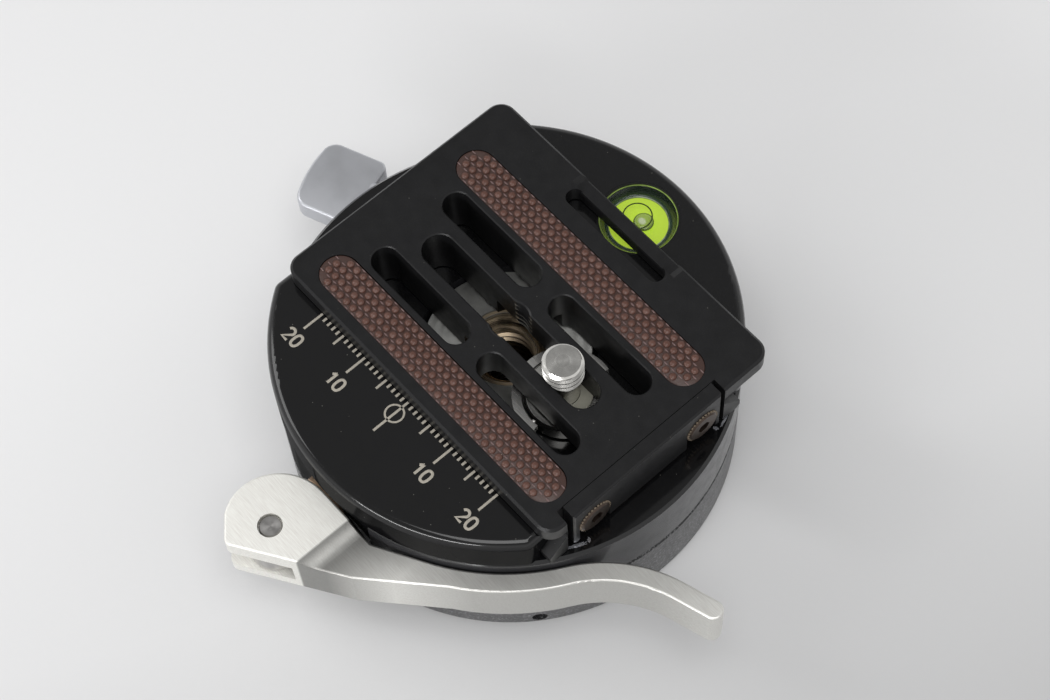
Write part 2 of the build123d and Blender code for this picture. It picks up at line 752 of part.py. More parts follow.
# Draw bolt: an eye on a rod that is screwed into the body
with BuildPart() as draw_bolt:
    with BuildSketch(Plane.XY.offset(bolt_z - eye_height / 2)):
        with Locations((pin_x, pin_y)):
            Circle(eye_radius)
    extrude(amount=eye_height)
    chamfer(draw_bolt.edges().group_by(Axis.Z)[-1], length=jaw_edge)
    chamfer(draw_bolt.edges().group_by(Axis.Z)[0], length=jaw_edge)
    with BuildSketch(bolt_plane.offset(-bolt_end)):
        Circle(bolt_radius)
    extrude(amount=-pin_y + bolt_end)
    with BuildSketch(Plane.XY.offset(bolt_z - eye_height)):
        with Locations((pin_x, pin_y)):
            Circle(pin_radius + running_gap)
    extrude(amount=2 * eye_height, mode=Mode.SUBTRACT)
draw_bolt.part.label = "draw_bolt"
export_step(draw_bolt.part, "parts/draw_bolt.step")

with BuildPart() as bolt_grub:
    with BuildSketch(Plane.XY.offset(body_bottom + jaw_edge)):
        with Locations((pin_x, bolt_grub_y)):
            Circle(bolt_grub_radius)
    extrude(amount=bolt_z - bolt_radius - fit_gap - body_bottom - jaw_edge)
    with BuildSketch(Plane.XY.offset(body_bottom + jaw_edge)):
        with Locations((pin_x, bolt_grub_y)):
            RegularPolygon(grub_socket_radius, 6)
    extrude(amount=grub_socket_depth, mode=Mode.SUBTRACT)
bolt_grub.part.label = "bolt_grub"
export_step(bolt_grub.part, "parts/bolt_grub.step")

# Lever. The outline of its head is the cam: as the lever opens, the distance from the pin
# to the pad shrinks evenly, so each point is where one such straight contact leaves the next.
cam_rate = jaw_travel / radians(cam_range)


def cam_point(turn):
    """Point of the cam that faces the pad when the lever has opened by this many degrees."""
    facing = radians(90 + turn)
    reach = cam_distance - cam_rate * radians(turn)
    return (pin_x + reach * cos(facing) + cam_rate * sin(facing),
            pin_y + reach * sin(facing) - cam_rate * cos(facing))


flat_y = pin_y + cam_distance
flat_end = pin_x + head_flat
flat_reach = sqrt(flat_end**2 + flat_y**2)
arm_start_angle = degrees(atan2(flat_y, flat_end) + acos(arm_inner_radius / flat_reach))
head_rise = head_height - arm_height
step_radius = (step_reach**2 + head_rise**2) / (2 * head_rise)


def polar(radius, angle):
    """Point at a radius and an angle about the pan axis."""
    return (radius * cos(radians(angle)), radius * sin(radians(angle)))


with BuildPart() as lever:
    with BuildSketch(Plane.XY.offset(lever_bottom)):
        with BuildLine():
            hug = CenterArc((0, 0), arm_mid_radius, arm_start_angle,
                            arm_leave_angle - arm_start_angle)
            swing = JernArc(hug @ 1, hug % 1, arm_sweep_radius, arm_sweep_angle)
            tail = Line(swing @ 1, (swing @ 1) + (swing % 1) * arm_tail)
        trace(line_width=arm_thickness)
    extrude(amount=arm_height)
    tip_edges = [e for e in lever.edges().filter_by(Axis.Z)
                 if (e.center() - Vector(tail @ 1)).dot(Vector(tail % 1)) > -arm_thickness / 2]
    fillet(tip_edges, radius=arm_tip_radius)
    with BuildSketch(Plane.XY.offset(lever_bottom)) as head_plan:
        with BuildLine():
            cam_outline = [cam_point(cam_range * i / cam_steps) for i in range(cam_steps + 1)]
            Spline(*cam_outline)
            Polyline(cam_outline[-1], (pin_x - head_corner_left, pin_y - head_corner_out),
                     (pin_x + knee_right, pin_y + knee_in),
                     polar(arm_outer_radius, neck_outer_angle), polar(arm_mid_radius, neck_outer_angle),
                     polar(arm_inner_radius, arm_start_angle), (flat_end, flat_y),
                     cam_outline[0])
        make_face()
        corner = head_plan.vertices().sort_by(Axis.Y)[0]
        fillet(corner, radius=head_corner_radius)
    extrude(amount=head_height)
    # The raised top of the head falls in a hollow curve to the arm
    with BuildSketch(Plane.XZ):
        with BuildLine():
            fall = RadiusArc((step_x + step_reach, arm_top), (step_x, head_top), step_radius)
            Polyline((step_x, head_top), (step_x, head_top + head_rise),
                     (disc_radius, head_top + head_rise), (disc_radius, arm_top),
                     (step_x + step_reach, arm_top))
        make_face()
    extrude(amount=2 * disc_radius, mode=Mode.SUBTRACT)
    outline_edges = [e for e in lever.edges()
                     if min(v.Z for v in e.vertices()) > arm_top - fit_gap
                     and not (abs(e.tangent_at(0).Y) > lengthwise_share and e.length > cam_distance / 2
                              and e.center().X > step_x - fit_gap)]
    fillet(outline_edges, radius=lever_edge)
    # Fork for the eye of the draw bolt
    with BuildSketch(Plane.XY.offset(bolt_z - eye_slot_height / 2)):
        with Locations((pin_x + slot_right - disc_radius / 2, pin_y)):
            Rectangle(disc_radius, disc_radius)
    extrude(amount=eye_slot_height, mode=Mode.SUBTRACT)
    with BuildSketch(Plane.XY.offset(lever_bottom - drill_overrun)):
        with Locations((pin_x, pin_y)):
            Circle(pin_radius + fit_gap)
    extrude(amount=head_top, mode=Mode.SUBTRACT)
    with BuildSketch(Plane.XY.offset(arm_top)):
        with Locations((pin_x, pin_y)):
            Circle(pin_radius + pin_ring)
    extrude(amount=drill_overrun, mode=Mode.SUBTRACT)
lever.part.label = "lever"
export_step(lever.part, "parts/lever.step")

with BuildPart() as lever_pin:
    with BuildSketch(Plane.XY.offset(lever_bottom + pin_drop)):
        with Locations((pin_x, pin_y)):
            Circle(pin_radius)
    extrude(amount=head_height - 2 * pin_drop)
    chamfer(lever_pin.edges().group_by(Axis.Z)[-1], length=pin_ring)
lever_pin.part.label = "lever_pin"
export_step(lever_pin.part, "parts/lever_pin.step")

# Pan lock: knob, stud, bush and shoe
knob_plane = Plane(origin=(lock_foot[0], lock_foot[1], lock_z), x_dir=lock_dir, z_dir=(0, 0, 1))
with BuildPart() as lock_knob:
    with BuildSketch(knob_plane.offset(-knob_thickness)) as knob_plan:
        with BuildLine():
            ThreePointArc((knob_outer - knob_bulge, -knob_half_width), (knob_outer, 0),
                          (knob_outer - knob_bulge, knob_half_width))
            Polyline((knob_outer - knob_bulge, knob_half_width), (knob_inner, knob_half_width),
                     (knob_inner, -knob_half_width), (knob_outer - knob_bulge, -knob_half_width))
        make_face()
        corner_limit = (knob_length - knob_bulge) / 3
        outer_corners = [v for v in knob_plan.vertices() if v.X > knob_inner + corner_limit]
        fillet(outer_corners, radius=min(knob_corner, corner_limit))
        root_corners = [v for v in knob_plan.vertices() if v.X < knob_inner + fit_gap]
        fillet(root_corners, radius=min(knob_root_corner, corner_limit))
    extrude(amount=2 * knob_thickness)
    crown_top = knob_thickness / 2 + knob_crown
    with BuildSketch(lock_plane.offset(knob_inner - fit_gap)):
        with BuildLine():
            ThreePointArc((-knob_half_width, -knob_thickness / 2), (0, -crown_top),
                          (knob_half_width, -knob_thickness / 2))
            Line((knob_half_width, -knob_thickness / 2), (knob_half_width, knob_thickness / 2))
            ThreePointArc((knob_half_width, knob_thickness / 2), (0, crown_top),
                          (-knob_half_width, knob_thickness / 2))
            Line((-knob_half_width, knob_thickness / 2), (-knob_half_width, -knob_thickness / 2))
        make_face()
    extrude(amount=knob_length + 2 * fit_gap, mode=Mode.INTERSECT)
    crown_edges = [e for e in lock_knob.edges() if abs(e.tangent_at(0).Z) < steep_share]
    fillet(crown_edges, radius=knob_edge)
    with BuildSketch(lock_plane.offset(collar_inner)):
        Circle(collar_radius)
    extrude(amount=knob_inner - collar_inner + knob_edge)
    with BuildSketch(lock_plane.offset(collar_inner)):
        Circle(stud_radius + fit_gap)
    extrude(amount=stud_outer + fit_gap - collar_inner, mode=Mode.SUBTRACT)
lock_knob.part.label = "lock_knob"
export_step(lock_knob.part, "parts/lock_knob.step")

with BuildPart() as lock_stud:
    with BuildSketch(lock_plane.offset(stud_inner)):
        Circle(stud_radius)
    extrude(amount=stud_outer - stud_inner)
lock_stud.part.label = "lock_stud"
export_step(lock_stud.part, "parts/lock_stud.step")

with BuildPart() as lock_bush:
    with BuildSketch(lock_plane.offset(lock_bush_inner)):
        Circle(lock_bore - fit_gap)
        Circle(stud_radius + running_gap, mode=Mode.SUBTRACT)
    extrude(amount=lock_bush_length)
lock_bush.part.label = "lock_bush"
export_step(lock_bush.part, "parts/lock_bush.step")

with BuildPart() as lock_shoe:
    with BuildSketch(lock_plane.offset(-shoe_half_length)):
        Circle(shoe_radius)
        Circle(stud_radius + running_gap, mode=Mode.SUBTRACT)
    extrude(amount=2 * shoe_half_length)
    with BuildSketch(Plane.XY.offset(body_bottom)):
        Circle(hub_radius + shoe_relief)
    extrude(amount=hub_shoulder - body_bottom + drill_overrun, mode=Mode.SUBTRACT)
lock_shoe.part.label = "lock_shoe"
export_step(lock_shoe.part, "parts/lock_shoe.step")

# Camera plate
bar_screw_places = [(bar_middle - bar_screw_spread, bar_screw_z),
                    (bar_middle + bar_screw_spread, bar_screw_z)]
with BuildPart() as camera_plate:
    with BuildSketch(Plane.YZ.offset(plate_back)):
        with BuildLine():
            Polyline((-dovetail_half + foot_chamfer, plate_bottom),
                     (dovetail_half - foot_chamfer, plate_bottom),
                     (dovetail_half, plate_bottom + foot_chamfer), (dovetail_half, land_top),
                     (waist_half, waist_start), (waist_half, flange_bottom),
                     (strap_bar_outer, flange_bottom), (strap_bar_outer, plate_top),
                     (-flange_short, plate_top), (-flange_short, flange_bottom),
                     (-waist_half, flange_bottom), (-waist_half, waist_start),
                     (-dovetail_half, land_top), (-dovetail_half, plate_bottom + foot_chamfer),
                     close=True)
        make_face()
    extrude(amount=plate_length)
    flange_corners = [e for e in camera_plate.edges().filter_by(Axis.Z)
                      if e.center().Z > flange_bottom and abs(e.center().Y) > waist_half + free_gap]
    fillet(flange_corners, radius=flange_corner)
    chamfer(camera_plate.faces().sort_by(Axis.Z)[-1].edges(), length=plate_edge_chamfer)
    with BuildSketch(Plane.XY.offset(plate_bottom)):
        for side in (-1, 1):
            for row in (-1, 1):
                with Locations((plate_slide + side * (slot_inner + slot_outer) / 2, row * slot_row)):
                    SlotOverall(slot_outer - slot_inner, slot_width)
        with Locations((plate_slide, 0)):
            SlotOverall(2 * screw_slot_half, screw_slot_width)
    extrude(amount=plate_thickness, mode=Mode.SUBTRACT)
    with BuildSketch(Plane.XY.offset(plate_top)):
        for row in (-1, 1):
            with Locations((plate_slide, row * strip_row)):
                SlotOverall(strip_length, strip_width)
    extrude(amount=-strip_recess, mode=Mode.SUBTRACT)
    # Pocket under the plate for the head of the camera screw and its ring
    with BuildSketch(Plane.XY.offset(plate_bottom)):
        with Locations(((pocket_from + pocket_to) / 2, 0)):
            SlotCenterToCenter(pocket_to - pocket_from, 2 * pocket_radius)
    extrude(amount=plate_pocket_top - plate_bottom, mode=Mode.SUBTRACT)
    # Tapped hole in the middle of the screw slot
    with BuildSketch(Plane.XZ):
        with BuildLine():
            tapped_rings = int((plate_top - plate_pocket_top) / tapped_pitch)
            tooth = (plate_top - plate_pocket_top) / (2 * tapped_rings + 1)
            wall = [(plate_slide + (tapped_major if i % 2 else tapped_minor), plate_pocket_top + i * tooth)
                    for i in range(2 * tapped_rings + 2)]
            Polyline((plate_slide, plate_pocket_top), *wall, (plate_slide, plate_top), close=True)
        make_face()
    revolve(axis=Axis((plate_slide, 0, 0), (0, 0, 1)), mode=Mode.SUBTRACT)
    slot_wires = [w for w in camera_plate.faces().sort_by(Axis.Z)[-1].inner_wires()
                  if abs(w.center().Y) < strip_row - strip_width / 2]
    chamfer([e for w in slot_wires for e in w.edges()], length=slot_edge)
    # Strap window and the lowered bar outside it, with a ramp at each end
    with BuildSketch(Plane.XY.offset(flange_bottom)):
        with Locations((plate_slide, (window_inner + window_outer) / 2)):
            RectangleRounded(2 * window_half, window_width, window_corner)
    extrude(amount=flange_thickness, mode=Mode.SUBTRACT)
    with BuildSketch(Plane.XZ.offset(-window_outer)):
        with BuildLine():
            Polyline((plate_slide - window_half - strap_bar_ramp, plate_top),
                     (plate_slide - window_half, plate_top - strap_bar_drop),
                     (plate_slide + window_half, plate_top - strap_bar_drop),
                     (plate_slide + window_half + strap_bar_ramp, plate_top), close=True)
        make_face()
    extrude(amount=-strap_bar_width, mode=Mode.SUBTRACT)
    bar_rim = [e for e in camera_plate.edges().filter_by(Axis.X)
               if abs(e.center().Z - plate_top + strap_bar_drop) < fit_gap and e.center().Y > window_outer + fit_gap]
    chamfer(bar_rim, length=strap_bar_edge)
    # Seat of the stop bar and its screw holes
    with BuildSketch(Plane.XY.offset(plate_bottom)):
        with Locations((bar_seat + plate_thickness / 2, 0)):
            Rectangle(plate_thickness, 2 * bar_pocket_half)
    extrude(amount=plate_thickness, mode=Mode.SUBTRACT)
    with BuildSketch(Plane.YZ.offset(bar_seat)):
        with Locations(*bar_screw_places):
            Circle(bar_screw_radius + fit_gap)
    extrude(amount=-bar_screw_length + bar_head_height, mode=Mode.SUBTRACT)
camera_plate.part.label = "camera_plate"
export_step(camera_plate.part, "parts/camera_plate.step")

with BuildPart() as grip_strips:
    with BuildSketch(Plane.XY.offset(plate_top - strip_recess + strip_gap)):
        for row in (-1, 1):
            with Locations((plate_slide, row * strip_row)):
                SlotOverall(strip_length - 2 * strip_gap, strip_width - 2 * strip_gap)
    extrude(amount=strip_recess + strip_stand - strip_gap)
    chamfer(grip_strips.edges().group_by(Axis.Z)[-1], length=strip_stand / 2)
grip_strips.part.label = "grip_strips"
export_step(grip_strips.part, "parts/grip_strips.step")

# Stop bar and its two screws. The holes of the bar are slots that are open below, so that
# it can be raised above the plate when its screws are loosened.
def bar_slots(half_width):
    """Plan of both slots of the bar, on its outer face."""
    with BuildSketch(Plane.YZ.offset(bar_face)) as slots:
        for place in bar_screw_places:
            with Locations(place):
                Circle(half_width)
            with Locations((place[0], place[1] - plate_thickness / 2)):
                Rectangle(2 * half_width, plate_thickness)
    return slots.sketch


with BuildPart() as stop_bar:
    with BuildSketch(Plane.XY.offset(bar_bottom)):
        with Locations((bar_face - bar_thickness / 2, bar_middle)):
            Rectangle(bar_thickness, 2 * bar_half)
    extrude(amount=plate_top - bar_bottom)
    chamfer(stop_bar.faces().sort_by(Axis.X)[-1].edges(), length=bar_face_edge)
    extrude(to_extrude=bar_slots(bar_screw_radius + fit_gap), amount=-bar_thickness, mode=Mode.SUBTRACT)
    extrude(to_extrude=bar_slots(bar_counterbore), amount=-bar_counterbore_depth, mode=Mode.SUBTRACT)
stop_bar.part.label = "stop_bar"
export_step(stop_bar.part, "parts/stop_bar.step")

head_seat = bar_face - bar_counterbore_depth + fit_gap
with BuildPart() as bar_screws:
    with BuildSketch(Plane.YZ.offset(head_seat)):
        with Locations(*bar_screw_places):
            Circle(bar_head_radius)
    extrude(amount=bar_head_height)
    chamfer(bar_screws.edges().group_by(Axis.X)[-1], length=bar_face_edge)
    with BuildSketch(Plane.YZ.offset(head_seat)):
        with Locations(*bar_screw_places):
            Circle(bar_screw_radius)
    extrude(amount=-bar_screw_length + bar_head_height)
    with BuildSketch(Plane.YZ.offset(head_seat + bar_head_height)):
        with Locations(*bar_screw_places):
            RegularPolygon(bar_socket_radius, 6)
    extrude(amount=-bar_socket_depth, mode=Mode.SUBTRACT)
bar_screws.part.label = "bar_screws"
export_step(bar_screws.part, "parts/bar_screws.step")

# Camera screw, washer and folding ring
with BuildPart() as camera_screw:
    with BuildSketch(Plane.XZ):
        with BuildLine():
            Polyline((screw_x, screw_head_bottom), (screw_x + screw_head_radius, screw_head_bottom),
                     (screw_x + screw_head_radius, screw_head_top - screw_head_edge),
                     (screw_x + screw_head_radius - screw_head_edge, screw_head_top),
                     (screw_x + screw_neck, screw_head_top), (screw_x + screw_neck, screw_thread_start),
                     (screw_x + screw_thread_radius, screw_thread_start),
                     (screw_x + screw_thread_radius, screw_top - screw_tip_chamfer),
                     (screw_x + screw_thread_radius - screw_tip_chamfer, screw_top),
                     (screw_x, screw_top), close=True)
        make_face()
    revolve(axis=Axis((screw_x, 0, 0), (0, 0, 1)))
    with BuildSketch(Plane.XY.offset(screw_head_bottom)):
        with Locations((screw_x, 0)):
            Rectangle(2 * screw_head_radius, coin_slot_width)
    extrude(amount=coin_slot_depth, mode=Mode.SUBTRACT)
    for side in (-1, 1):
        with BuildSketch(Plane(origin=(screw_x, side * ring_pin_hole, ring_z),
                               x_dir=(1, 0, 0), z_dir=(0, side, 0))):
            Circle(ring_pin_radius + running_gap)
        extrude(amount=screw_head_radius, mode=Mode.SUBTRACT)
camera_screw.part.label = "camera_screw"
export_step(camera_screw.part, "parts/camera_screw.step")

with BuildPart() as neck_washer:
    with BuildSketch(Plane.XY.offset(neck_washer_bottom)):
        with Locations((screw_x, 0)):
            Circle(neck_washer_radius)
            Circle(screw_neck + running_gap, mode=Mode.SUBTRACT)
    extrude(amount=neck_washer_thickness)
neck_washer.part.label = "neck_washer"
export_step(neck_washer.part, "parts/neck_washer.step")

ring_mid = (ring_outer + ring_inner) / 2
with BuildPart() as screw_ring:
    with BuildSketch(Plane.XY.offset(ring_z - ring_thickness / 2)):
        with BuildLine():
            CenterArc((screw_x, 0), ring_mid, ring_end_angle, 360 - 2 * ring_end_angle)
        trace(line_width=ring_width)
    extrude(amount=ring_thickness)
    for side in (-1, 1):
        with BuildSketch(Plane(origin=(screw_x, side * ring_pin_inner, ring_z),
                               x_dir=(1, 0, 0), z_dir=(0, side, 0))):
            Circle(ring_pin_radius)
        extrude(amount=ring_mid - ring_pin_inner)
screw_ring.part.label = "screw_ring"
export_step(screw_ring.part, "parts/screw_ring.step")
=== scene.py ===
import json
import math

import bmesh
import bpy
from bpy.props import FloatProperty, FloatVectorProperty, IntProperty, PointerProperty
from bpy.types import Operator, Panel, PropertyGroup
from mathutils import Matrix, Vector

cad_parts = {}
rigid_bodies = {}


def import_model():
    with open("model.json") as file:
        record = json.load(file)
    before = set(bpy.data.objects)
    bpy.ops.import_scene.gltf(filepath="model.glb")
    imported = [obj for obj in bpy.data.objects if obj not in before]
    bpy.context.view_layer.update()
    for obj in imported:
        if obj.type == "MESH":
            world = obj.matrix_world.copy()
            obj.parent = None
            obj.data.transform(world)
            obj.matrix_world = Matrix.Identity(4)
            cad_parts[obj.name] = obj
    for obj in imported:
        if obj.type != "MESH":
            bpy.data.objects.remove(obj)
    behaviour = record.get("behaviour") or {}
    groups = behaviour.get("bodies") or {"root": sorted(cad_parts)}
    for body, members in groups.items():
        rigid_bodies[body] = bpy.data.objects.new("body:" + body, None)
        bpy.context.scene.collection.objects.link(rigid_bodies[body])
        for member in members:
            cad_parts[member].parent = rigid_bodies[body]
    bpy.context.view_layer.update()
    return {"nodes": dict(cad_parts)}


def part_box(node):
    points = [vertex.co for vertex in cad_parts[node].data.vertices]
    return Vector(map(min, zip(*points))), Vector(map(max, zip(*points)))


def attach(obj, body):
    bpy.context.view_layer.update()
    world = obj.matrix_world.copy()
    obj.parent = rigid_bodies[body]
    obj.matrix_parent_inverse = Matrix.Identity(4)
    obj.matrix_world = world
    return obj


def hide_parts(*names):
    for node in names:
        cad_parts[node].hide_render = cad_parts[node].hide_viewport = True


bl_info = {
    "name": "Panning clamp looks",
    "version": (1, 0, 0),
    "blender": (4, 5, 0),
    "location": "View3D > Sidebar > Panning clamp",
    "description": "Dresses the packed panning clamp and sets the stage for its photograph",
    "category": "Object",
}

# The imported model
for spare in list(bpy.data.objects):
    bpy.data.objects.remove(spare)
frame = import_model()

# One millimetre in metres, the faces round a turned shape, and the pitch of a quarter inch thread
MM = 0.001
ROUND = 96
SCREW_PITCH = 1.27
UP = Vector((0, 0, 1))


# Small helpers

def seen(red, green, blue):
    """A colour as a screen shows it, 0 to 255, turned into the linear values that Blender mixes."""
    return tuple((c / 255 / 12.92) if c / 255 <= 0.04045 else ((c / 255 + 0.055) / 1.055) ** 2.4
                 for c in (red, green, blue))


def shade(colour, by):
    """A colour made darker or lighter."""
    return tuple(min(1, c * by) for c in colour)


def mm(*numbers):
    """Millimetres as a vector in metres."""
    return Vector(numbers) * MM


def middle(node):
    """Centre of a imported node's box."""
    low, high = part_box(node)
    return (low + high) / 2


def linked(name, data):
    """A new object in the scene."""
    made = bpy.data.objects.new(name, data)
    bpy.context.scene.collection.objects.link(made)
    return made


def feed(tree, value, socket):
    """Sets a socket to a constant, or links it to another node's socket."""
    if isinstance(value, bpy.types.NodeSocket):
        tree.links.new(value, socket)
    elif socket.type == "RGBA" and len(value) == 3:
        socket.default_value = (*value, 1)
    else:
        socket.default_value = value


def add_node(tree, kind, inputs=None, **settings):
    """Adds a node with its settings, and feeds its inputs, by name or number."""
    node = tree.nodes.new(kind)
    for key, value in settings.items():
        setattr(node, key, value)
    for key, value in (inputs or {}).items():
        feed(tree, value, node.inputs[key])
    return node


# Materials

class Finish:
    """One procedural finish, laid out on the object's own coordinates, counted in millimetres."""

    # Sockets of the Mix node that carry colours
    MIX_FIRST, MIX_SECOND, MIX_RESULT = 6, 7, 2

    def __init__(self, name, colour, roughness, metallic=0.0, specular=0.5, coat=0.0, alpha=1.0):
        self.material = bpy.data.materials.new(name)
        self.material.use_nodes = True
        self.tree = self.material.node_tree
        self.tree.nodes.clear()
        self.shader = self.add("ShaderNodeBsdfPrincipled", {
            "Base Color": colour, "Roughness": roughness, "Metallic": metallic,
            "Specular IOR Level": specular, "Coat Weight": coat, "Alpha": alpha})
        self.add("ShaderNodeOutputMaterial", {"Surface": self.shader.outputs["BSDF"]})
        spot = self.add("ShaderNodeTexCoord")
        self.facing = spot.outputs["Normal"]
        self.place = self.placed(scale=(1 / MM,) * 3, source=spot.outputs["Object"])

    def add(self, kind, inputs=None, **settings):
        return add_node(self.tree, kind, inputs, **settings)

    def put(self, socket, value):
        """Feeds one socket of the shader."""
        feed(self.tree, value, self.shader.inputs[socket])

    def placed(self, scale=(1, 1, 1), turn=(0, 0, 0), centre=(0, 0, 0), source=None):
        """The coordinates stretched, turned and shifted."""
        node = self.add("ShaderNodeMapping", {
            "Location": [-c * s for c, s in zip(centre, scale)], "Rotation": turn, "Scale": scale,
            "Vector": self.place if source is None else source})
        return node.outputs["Vector"]

    def spot(self, centre, half, turn=0.0):
        """How far a point is from a centre, as a share of the half sizes of a turned ellipsoid."""
        node = self.add("ShaderNodeMapping", {"Location": centre, "Rotation": (0, 0, turn), "Scale": half,
                                              "Vector": self.place}, vector_type="TEXTURE")
        return self.length(node.outputs["Vector"])

    def length(self, vector):
        return self.add("ShaderNodeVectorMath", {0: vector}, operation="LENGTH").outputs["Value"]

    def away(self, centre):
        """Distance from an upright axis."""
        return self.length(self.placed(scale=(1, 1, 0), centre=centre))

    def parts(self, vector):
        return self.add("ShaderNodeSeparateXYZ", {0: vector}).outputs

    def noise(self, per_mm, detail=2.0, rough=0.5, place=None):
        node = self.add("ShaderNodeTexNoise", {"Scale": per_mm, "Detail": detail, "Roughness": rough,
                                               "Vector": self.place if place is None else place})
        return node.outputs["Fac"]

    def rings(self, per_mm, centre):
        """Fine turning marks round an upright axis."""
        node = self.add("ShaderNodeTexNoise", {"Scale": per_mm, "Detail": 1.0, "W": self.away(centre)},
                        noise_dimensions="1D")
        return node.outputs["Fac"]

    def cells(self, per_mm):
        return self.add("ShaderNodeTexVoronoi", {"Scale": per_mm, "Vector": self.place}).outputs["Distance"]

    def ranged(self, value, low, high, start=0.0, end=1.0):
        """A value between two limits mapped to start and end, and held there."""
        return self.add("ShaderNodeMapRange", {"Value": value, "From Min": low, "From Max": high,
                                               "To Min": start, "To Max": end}).outputs["Result"]

    def calc(self, operation, first, second=0.0):
        return self.add("ShaderNodeMath", {0: first, 1: second}, operation=operation).outputs["Value"]

    def mixed(self, share, first, second):
        """Two colours mixed by a share."""
        node = self.add("ShaderNodeMix", {0: share, self.MIX_FIRST: first, self.MIX_SECOND: second},
                        data_type="RGBA")
        return node.outputs[self.MIX_RESULT]

    def along(self, places):
        """A value that runs from one number to the next between places along X."""
        x = self.parts(self.place)[0]
        total = places[0][1]
        for (low, start), (high, end) in zip(places, places[1:]):
            total = self.calc("ADD", self.ranged(x, low, high, 0, end - start), total)
        return total

    def colour(self, value):
        self.put("Base Color", value)

    def overlay(self, share, colour):
        """Lays a colour over the pattern that is there."""
        there = self.shader.inputs["Base Color"].links[0].from_socket
        self.colour(self.mixed(share, there, colour))

    def rough(self, value):
        self.put("Roughness", value)

    def bump(self, height, depth):
        """Gives the surface relief, its depth in millimetres."""
        node = self.add("ShaderNodeBump", {"Strength": 1.0, "Distance": depth * MM, "Height": height})
        self.put("Normal", node.outputs["Normal"])


def black_anodised(name, colour, side, roughness, specular, grain, relief, dust=0.0, per_mm=7.0, coat=0.0,
                   side_shine=1.0):
    """Black anodised aluminium: fine grain, faint clouds, and sides in a lighter colour, partly their satin
    finish and partly painted light from the pale floor.
    """
    finish = Finish(name, colour, roughness, specular=specular, coat=coat)
    finish.put("Coat Roughness", 0.09)
    clouds = finish.ranged(finish.noise(0.12, 3), 0.35, 0.65, 0, 0.18)
    fine = finish.noise(per_mm, 3, 0.6)
    upright = finish.calc("ABSOLUTE", finish.parts(finish.facing)[2])
    on_side = finish.ranged(upright, 0.1, 0.45, 1, 0)
    if coat:
        finish.put("Coat Weight", finish.ranged(on_side, 0, 1, coat, coat * 0.12))
        finish.put("Specular IOR Level", finish.ranged(on_side, 0, 1, specular, specular * side_shine))
    # Sides take their own colour by facing: partly satin finish, partly painted light where they mirror the
    # floor
    tone = finish.mixed(on_side, colour, side)
    tone = finish.mixed(finish.ranged(fine, 0.5, 0.74, 0, grain), tone, shade(side, 3.2))
    tone = finish.mixed(clouds, tone, shade(colour, 1.6))
    if dust:
        motes = finish.ranged(finish.cells(0.55), 0.03, 0.055, dust, 0)
        tone = finish.mixed(motes, tone, seen(120, 118, 112))
    finish.colour(tone)
    finish.rough(finish.ranged(finish.noise(0.5, 4), 0.3, 0.7, roughness - 0.05, roughness + 0.07))
    finish.bump(fine, relief)
    return finish


def plate_finish(name, colours):
    """Satin black of the camera plate and its stop bar."""
    return black_anodised(name, colours.plate_black, colours.plate_side, 0.36, 0.3, 0.3, 0.003, dust=0.5)


def worn_gloss(name, colours, chips_and_glints):
    """Gloss black of the clamp body, with bare metal at nicks on its rim, partly wear and partly painted
    glint.
    """
    finish = black_anodised(name, colours.gloss_black, colours.gloss_side, 0.2, 0.12, 0.06, 0.0005,
                            dust=0.5, coat=0.8, side_shine=1.6)
    ragged = finish.ranged(finish.noise(4.0, 4, 0.7), 0.3, 0.7, -0.5, 0.5)
    wear_and_glint = 0.0
    for centre, half, degrees in chips_and_glints:
        near = finish.calc("ADD", finish.spot(centre, half, math.radians(degrees)), ragged)
        wear_and_glint = finish.calc("MAXIMUM", wear_and_glint, finish.ranged(near, 0.8, 1.05, 1, 0))
    # Bare metal at the nicks: partly wear, partly a painted glint along the rim's edge
    finish.overlay(wear_and_glint, seen(226, 228, 236))
    finish.put("Metallic", finish.calc("MULTIPLY", wear_and_glint, 0.9))
    return finish


def brushed_metal(name, colour, roughness, depth=0.006, swing=0.07, painted_sheen=(), dull=()):
    """Bare metal brushed along X. Painted highlight at places along X brightens or darkens its colour, and
    dull gives its roughness there.
    """
    finish = Finish(name, colour, roughness, metallic=1.0)
    brushed = finish.placed(scale=(0.06, 1.0, 1.0))
    lines = finish.noise(6.0, 3, 0.6, brushed)
    smear = finish.ranged(finish.noise(0.6, 3, 0.5, brushed), 0.3, 0.7, -swing, swing)
    tone = finish.mixed(finish.ranged(lines, 0.3, 0.7), shade(colour, 0.9), shade(colour, 1.08))
    # Painted highlight: the colour brightened or darkened at places along X
    finish.colour(finish.mixed(finish.along(painted_sheen), (0, 0, 0), tone) if painted_sheen else tone)
    finish.rough(finish.calc("ADD", smear, finish.along(dull) if dull else roughness))
    finish.bump(lines, depth)
    return finish


def turned_metal(name, colour, roughness, centre=(0, 0, 0), depth=0.001, per_mm=1.5, fan=0.7):
    """Bare metal with the fine rings that a lathe leaves, which spread its shine into a fan."""
    finish = Finish(name, colour, roughness, metallic=1.0)
    round_axis = finish.add("ShaderNodeTangent", direction_type="RADIAL", axis="Z")
    finish.put("Tangent", round_axis.outputs["Tangent"])
    finish.put("Anisotropic", fan)
    marks = finish.rings(per_mm, centre)
    stain = finish.ranged(finish.noise(0.6, 4, 0.6), 0.35, 0.7)
    finish.colour(finish.mixed(stain, shade(colour, 0.85), shade(colour, 1.08)))
    finish.rough(finish.ranged(marks, 0.3, 0.7, roughness - 0.05, roughness + 0.08))
    if depth:
        finish.bump(marks, depth)
    return finish


